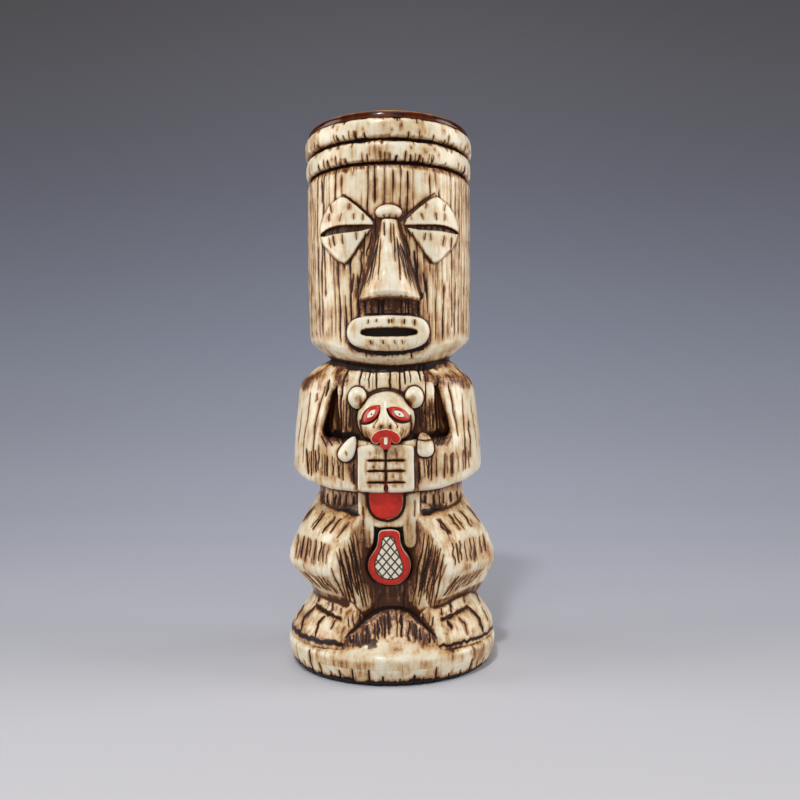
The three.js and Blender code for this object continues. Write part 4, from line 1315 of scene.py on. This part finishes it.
def enamel_material(name, hatched):
    """Red enamel with a cream middle that has a black outline, and crossed black lines if hatched."""
    graph = Graph(name)
    _, clay = stained_and_shaded(graph)
    uneven = graph.between(graph.noise(300, 3), 0.3, 0.7, 0.82, 1.1)
    red = graph.node("ShaderNodeVectorMath", {0: RED, "Scale": uneven}, operation="SCALE").outputs[0]
    colour = graph.mix(graph.between(graph.number("edge"), -0.26, -0.12), red, clay)
    middle = graph.number("middle")
    inside = graph.between(middle, -0.05, 0.05, 1.0, 0.0)
    colour = graph.mix(inside, colour, IVORY)
    gap = graph.math("ABSOLUTE", middle)
    line = graph.between(gap, 0.16 if hatched else 0.06, 0.3 if hatched else 0.16, 1.0, 0.0)
    if hatched:
        where = graph.node("ShaderNodeSeparateXYZ", {0: graph.node("ShaderNodeTexCoord").outputs["Object"]})
        for sign in (-1, 1):
            across = graph.math("MULTIPLY", where.outputs["X"], float(sign))
            slant = graph.math("ADD", across, graph.math("MULTIPLY", where.outputs["Z"], 0.85))
            saw = graph.math("PINGPONG", graph.math("ADD", slant, 1.0), 0.00155)
            hatch = graph.between(saw, 0.00028, 0.00048, 1.0, 0.0)
            line = graph.math("MAXIMUM", line, graph.math("MULTIPLY", hatch, inside))
    colour = graph.mix(graph.math("MULTIPLY", line, 0.95), colour, BLACK)
    colour = graph.mix(graph.between(graph.number("pupil"), 0.25, 0.4, 1.0, 0.0), colour, UMBER)
    graph.set(graph.shader.inputs["Base Color"], colour)
    graph.set(graph.shader.inputs["Roughness"], graph.between(graph.noise(400, 3), 0.3, 0.7, 0.2, 0.3))
    graph.shader.inputs["Specular IOR Level"].default_value = 0.3
    graph.shader.inputs["Coat Weight"].default_value = 0.12
    graph.shader.inputs["Coat Roughness"].default_value = 0.06
    graph.bump(graph.noise(700, 3), 0.12, 0.0002)
    return graph.material


def glaze_material():
    """Dark amber-brown glaze that turns golden where it thins."""
    graph = Graph("brown_glaze")
    mottle = graph.between(graph.noise(260, 4, (1, 1, 0.5)), 0.3, 0.75, 0.0, 0.3)
    amount = graph.math("ADD", graph.number("thin"), graph.math("MULTIPLY", mottle, 0.8))
    stops = [(0.0, (0.02, 0.003, 0.001)), (0.3, (0.10, 0.018, 0.004)), (0.65, (0.34, 0.1, 0.015)), (1.0, (0.75, 0.4, 0.07))]
    graph.set(graph.shader.inputs["Base Color"], graph.ramp(amount, stops))
    graph.set(graph.shader.inputs["Roughness"], graph.between(graph.noise(300, 3), 0.3, 0.7, 0.14, 0.22))
    graph.shader.inputs["Specular IOR Level"].default_value = 0.2
    graph.shader.inputs["Coat Weight"].default_value = 0.15
    graph.shader.inputs["Coat Roughness"].default_value = 0.03
    graph.bump(graph.noise(260, 2), 0.1, 0.0004)
    return graph.material


CLAY = clay_material()
ENAMEL = enamel_material("red_enamel", False)
WEBBED_ENAMEL = enamel_material("red_enamel_webbed", True)
GLAZE = glaze_material()


# ---- Pieces ----
MARGIN = 4.5  # a piece's grid reaches this far beyond its CAD node
pieces = []


def sculpt(node, shape, marks=plain_marks, voxel=0.36, material=CLAY, **more):
    """Plan the piece that replaces a CAD node. more may hold grow, hollow, deep, edge, middle and pupil."""
    low, high = (np.array(corner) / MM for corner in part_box(node))
    grow = np.array(more.pop("grow", (0, 0, 0)), float)
    piece = {"node": node, "shape": shape, "marks": marks, "voxel": voxel * COARSE, "material": material}
    piece.update(low=low - MARGIN - grow, high=high + MARGIN + grow, hollow=False, deep=1.2)
    piece.update(edge=None, middle=None, pupil=None)
    piece.update(more)
    piece["low"][2] = max(piece["low"][2], -2)
    pieces.append(piece)


def make(piece, folds):
    """The finished object of one sculpted piece, in place of its CAD node."""
    points, quads = surface(*sample(piece), piece["voxel"])
    clay = piece["material"] is CLAY
    obj = new_object(("clay_" if clay else "enamel_") + piece["node"], points, quads)

    def numbers(x, y, z):
        m = Marks(x, y, z)
        piece["marks"](m)
        rows = [m.cut, m.wash_and_shade]
        for name, none in (("edge", -9.0), ("middle", 9.0), ("pupil", 9.0)):
            rows.append(piece[name](x, z) if piece[name] else np.full(x.shape, none))
        return np.stack(rows)

    for name, values in zip(("cut", "wash_and_shade", "edge", "middle", "pupil"), in_parts(numbers, *points.T)):
        if clay and name in ("edge", "middle", "pupil"):
            continue
        store(obj, name, values)
    for name in SURROUNDINGS:
        store(obj, name, folds.at(points, name))
    obj.data.materials.append(piece["material"])
    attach(obj, "root")
    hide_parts(piece["node"])


LOWER_BAND = (CROWN_Z + 0.1, BAND_SEAM_Z - 0.7)
UPPER_BAND = (BAND_SEAM_Z + 0.5, RIM_Z - 0.3)

sculpt("plinth", plinth, plinth_marks, 0.42, grow=(0, 0, 2))
sculpt("torso_shell", torso, torso_marks, 0.4, hollow=True, grow=(2, 4, 0))
sculpt("head_drum", head, head_marks, 0.33, hollow=True, deep=1.6)
sculpt("crown_band_lower", crown_band(*LOWER_BAND, HEAD_R + 0.4), crown_marks(*LOWER_BAND, 5), 0.32)
sculpt("crown_band_upper", crown_band(*UPPER_BAND, HEAD_R + 0.8), crown_marks(*UPPER_BAND, 6), 0.32)
for name, side in (("left", 1), ("right", -1)):
    sculpt(f"{name}_eye", eye(side), eye_marks(side), 0.26, deep=3.0)
    sculpt(f"{name}_arm", arm(side), arm_marks(side), 0.34, grow=(3, 6, 1))
    sculpt(f"{name}_leg", leg(side), leg_marks(side), 0.34, grow=(0, 3, 3))
    sculpt(f"{name}_foot", foot(side), foot_marks(side), 0.34, grow=(0, 3, 1))
    sculpt(f"{name}_hand", hand(side), hand_marks(side), 0.26)
    sculpt(f"beaver_{name}_ear", ear(side), ear_marks(side), 0.22)
    (eye_x, eye_z), tilt = BEAVER_EYES[side]
    centre = (eye_x + 0.1, eye_z - 0.2)
    sculpt(
        f"beaver_{name}_eye",
        on_skull(beaver_eye_edge(side), 0.35),
        voxel=0.17,
        material=ENAMEL,
        middle=beaver_eye_edge(side, 0.5),
        pupil=lambda x, z, c=centre: np.hypot(x - c[0], z - c[1]),
    )
    shin = moved(rounded(BEAVER_LEG, 1), BEAVER_LEG_X[side])
    sculpt(f"beaver_{name}_leg", on_torso(shin, -1.5, 3.6), beaver_body_marks, 0.26)
sculpt("brow_knob", brow_knob, brow_marks, 0.26)
sculpt("nose", nose, nose_marks, 0.28)
sculpt("mouth", mouth, mouth_marks, 0.26)
sculpt("left_thumb", thumb(LEFT_THUMB, 1.6), thumb_marks, 0.26)
sculpt("right_thumb", thumb(RIGHT_THUMB, 1.9), thumb_marks, 0.26)
sculpt("mound", mound, mound_marks, 0.32, grow=(3, 0, 2))
sculpt("beaver_head", beaver_head, beaver_head_marks, 0.2)
sculpt("beaver_lips", on_skull(lips_edge, 0.8), voxel=0.17, material=ENAMEL, edge=lips_edge)
sculpt("beaver_tongue", tongue, voxel=0.17, material=ENAMEL, middle=tongue_middle)
sculpt("beaver_trunk", on_torso(rounded(TRUNK, 1), -1.5, 3.6), beaver_body_marks, 0.26)
sculpt("beaver_belly", on_torso(BELLY_OUTLINE, 2.2, 3.9), voxel=0.24, material=ENAMEL)
sculpt(
    "beaver_tail",
    on_torso(TAIL_OUTLINE, -1.0, 4.2),
    voxel=0.2,
    material=WEBBED_ENAMEL,
    edge=lambda x, z: outline(x, z, TAIL_OUTLINE),
    middle=lambda x, z: outline(x, z, WEB_OUTLINE),
)

folds = Folds(pieces)
for piece in pieces:
    make(piece, folds)


# ---- Glaze ----
def lathed(name, profile, steps=192):
    """A closed skin turned from a profile of (radius, height), where a height may depend on the angle."""
    angles = np.arange(steps) / steps * 2 * math.pi
    rings = []
    for radius, height in profile:
        z = height(angles) if callable(height) else np.full(steps, float(height))
        rings.append(np.stack([radius * np.sin(angles), -radius * np.cos(angles), z], axis=1))
    count = len(profile)
    faces = []
    for k in range(count):
        here = np.arange(steps) + k * steps
        there = np.arange(steps) + (k + 1) % count * steps
        faces.append(np.stack([here, np.roll(here, -1), np.roll(there, -1), there], axis=1))
    return np.concatenate(rings), np.concatenate(faces)


def curve(points, steps):
    """A smooth line through the points."""
    points = np.array(points, float)
    padded = np.vstack([2 * points[0] - points[1], points, 2 * points[-1] - points[-2]])
    result = []
    for p0, p1, p2, p3 in zip(padded, padded[1:], padded[2:], padded[3:]):
        for t in np.arange(steps) / steps:
            bend = (2 * p0 - 5 * p1 + 4 * p2 - p3) * t**2 + (3 * p1 - p0 - 3 * p2 + p3) * t**3
            result.append(tuple(p1 + 0.5 * ((p2 - p0) * t + bend)))
    return result + [tuple(points[-1])]


def glaze(node, points, faces):
    """A glazed skin in place of a CAD node, thin and golden along the top of the lip."""
    obj = new_object("glaze_" + node, points, faces)
    x, y, z = points.T
    lip = np.exp(-(((z - HEIGHT + 0.2) / 0.5) ** 2))
    foot = np.exp(-(((z - RIM_Z) / 0.5) ** 2)) * (np.hypot(x, y) > HEAD_R - 1)
    store(obj, "thin", 0.8 * lip + 0.35 * foot + 0.2 * noise(x, y, z, 5) * lip)
    obj.data.materials.append(GLAZE)
    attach(obj, "root")
    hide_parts(node)


def drip(angles):
    """The uneven foot of the glaze on the outside of the lip."""
    x, y = np.sin(angles) * HEAD_R, -np.cos(angles) * HEAD_R
    return RIM_Z - 0.8 + 0.5 * noise(x, y, 0 * x, 5) + 0.3 * noise(x, y, 0 * x, 1.6)


OUTSIDE = [(HEAD_R - 0.3, RIM_Z + 0.4), (HEAD_R - 0.5, RIM_Z + 1.5), (HEAD_R - 1.1, HEIGHT - 0.4), (HEAD_R - 2, HEIGHT)]
INSIDE = [(HEAD_R - 3.1, HEIGHT), (HEAD_R - 4.7, HEIGHT - 0.7), (HEAD_R - 5.9, HEIGHT - 2.2), (26.4, RIM_Z - 1)]
rim_profile = [(HEAD_R - 0.6, drip)] + curve(OUTSIDE + INSIDE, 6) + [(29.5, RIM_Z - 1), (31.2, RIM_Z + 0.6)]
glaze("rim", *lathed("rim", rim_profile))

FLOOR_Z = PLINTH_TOP + 1.3
WALL = [(0.01, FLOOR_Z), (16, FLOOR_Z + 0.1), (20, FLOOR_Z + 1.2), (21.1, FLOOR_Z + 5), (21.15, 60), (21.15, 103)]
WALL += [(19.2, 109), (17.4, 114), (17.4, 120), (20.2, 124), (25.4, 130), (26.2, 136), (26.2, 180), (26.2, RIM_Z - 0.3)]
inner_wall = curve(WALL, 5)
outer_wall = [(r + 0.8, z - (0.8 if z < 20 else 0)) for r, z in reversed(inner_wall)]
points, faces = lathed("lining", inner_wall + outer_wall[:-1] + [(0.01, FLOOR_Z - 0.8)], 128)
x, y, z = points.T
points[:, 2] -= 4.5 * front_share(x, y) * np.clip(1 - np.abs(z - 118) / 24, 0, 1)
glaze("glaze_lining", points, faces)


# ---- Stage ----
def stage_material():
    """Pale paper, darker the further back and higher: painted shade for the light falling off over floor and backdrop.
    """
    graph = Graph("sweep")
    where = graph.node("ShaderNodeSeparateXYZ", {0: graph.node("ShaderNodeTexCoord").outputs["Object"]})
    # Painted shade: the paper's colour darkens with distance back and height.
    away = graph.math("ADD", where.outputs["Y"], where.outputs["Z"])
    share = graph.math("DIVIDE", graph.math("ADD", away, 0.2), 1.9)
    stops = [
        (0.04, (0.62, 0.62, 0.66)),
        (0.1, (0.59, 0.6, 0.66)),
        (0.134, (0.5, 0.51, 0.58)),
        (0.168, (0.445, 0.455, 0.52)),
        (0.214, (0.39, 0.4, 0.47)),
        (0.26, (0.357, 0.372, 0.435)),
        (0.344, (0.36, 0.375, 0.443)),
        (0.424, (0.315, 0.331, 0.396)),
        (0.524, (0.248, 0.267, 0.323)),
        (0.589, (0.218, 0.235, 0.291)),
        (0.65, (0.187, 0.205, 0.259)),
        (0.777, (0.133, 0.142, 0.18)),
        (0.839, (0.108, 0.113, 0.143)),
        (0.891, (0.094, 0.095, 0.116)),
        (0.99, (0.076, 0.074, 0.083)),
    ]
    graph.set(graph.shader.inputs["Base Color"], graph.ramp(share, stops))
    graph.shader.inputs["Roughness"].default_value = 0.8
    graph.shader.inputs["Specular IOR Level"].default_value = 0.2
    return graph.material


def sweep():
    """A pale floor that curves up into the backdrop."""
    front, bend, radius, top, half_width = -5.0, 0.45, 0.5, 1.6, 5.0
    rows = [(front, 0.0), (bend, 0.0)]
    for k in range(1, 25):
        angle = k / 24 * math.pi / 2
        rows.append((bend + radius * math.sin(angle), radius * (1 - math.cos(angle))))
    rows.append((bend + radius, top))
    points = np.array([(x, y, z) for y, z in rows for x in (-half_width, half_width)]) / MM
    faces = np.array([(2 * i, 2 * i + 1, 2 * i + 3, 2 * i + 2) for i in range(len(rows) - 1)])
    obj = new_object("sweep", points, faces)
    obj.data.materials.append(stage_material())


def area_light(name, place, target, size, power, colour=(1, 1, 1)):
    data = bpy.data.lights.new(name, "AREA")
    data.shape = "DISK"
    data.size = size
    data.energy = power
    data.color = colour
    lamp = bpy.data.objects.new(name, data)
    lamp.location = place
    across = np.subtract(target, place)
    lamp.rotation_euler = (math.atan2(math.hypot(across[0], across[1]), -across[2]), 0, math.atan2(-across[0], across[1]))
    lamp.visible_camera = False
    bpy.context.scene.collection.objects.link(lamp)


WARM = (1.0, 0.97, 0.93)
sweep()
area_light("key", (-0.14, -0.62, 0.86), (0, 0, 0.11), 0.08, 4.0, (0.98, 0.99, 1.0))
area_light("soft", (-0.1, -0.9, 0.5), (0, 0, 0.11), 0.8, 1.7, WARM)
area_light("left", (-1.5, -0.06, 0.57), (0, 0, 0.1), 1.1, 13.0, WARM)
area_light("right", (1.5, -0.06, 0.57), (0, 0, 0.1), 1.1, 14.8, WARM)
area_light("top", (0.0, -0.2, 0.95), (0, 0, 0.1), 0.5, 0.65, WARM)
area_light("backdrop", (0.0, 0.3, 0.6), (0, 1.0, 0.3), 0.8, 2.2)
world = bpy.data.worlds.new("world")
bpy.context.scene.world = world
world.use_nodes = True
world.node_tree.nodes["Background"].inputs["Color"].default_value = (0.84, 0.82, 0.8, 1)
world.node_tree.nodes["Background"].inputs["Strength"].default_value = 0.22
bpy.context.scene.view_settings.view_transform = "Standard"

camera_data = bpy.data.cameras.new("camera")
camera_data.lens = 36.9
camera_data.sensor_width = 36
camera_data.shift_y = 0.0092
camera_data.clip_start = 0.01
camera = bpy.data.objects.new("camera", camera_data)
camera.location = (0.0039, -0.333, 0.1005)
camera.rotation_euler = (math.pi / 2, math.radians(0.45), 0)
bpy.context.scene.collection.objects.link(camera)
bpy.context.scene.camera = camera
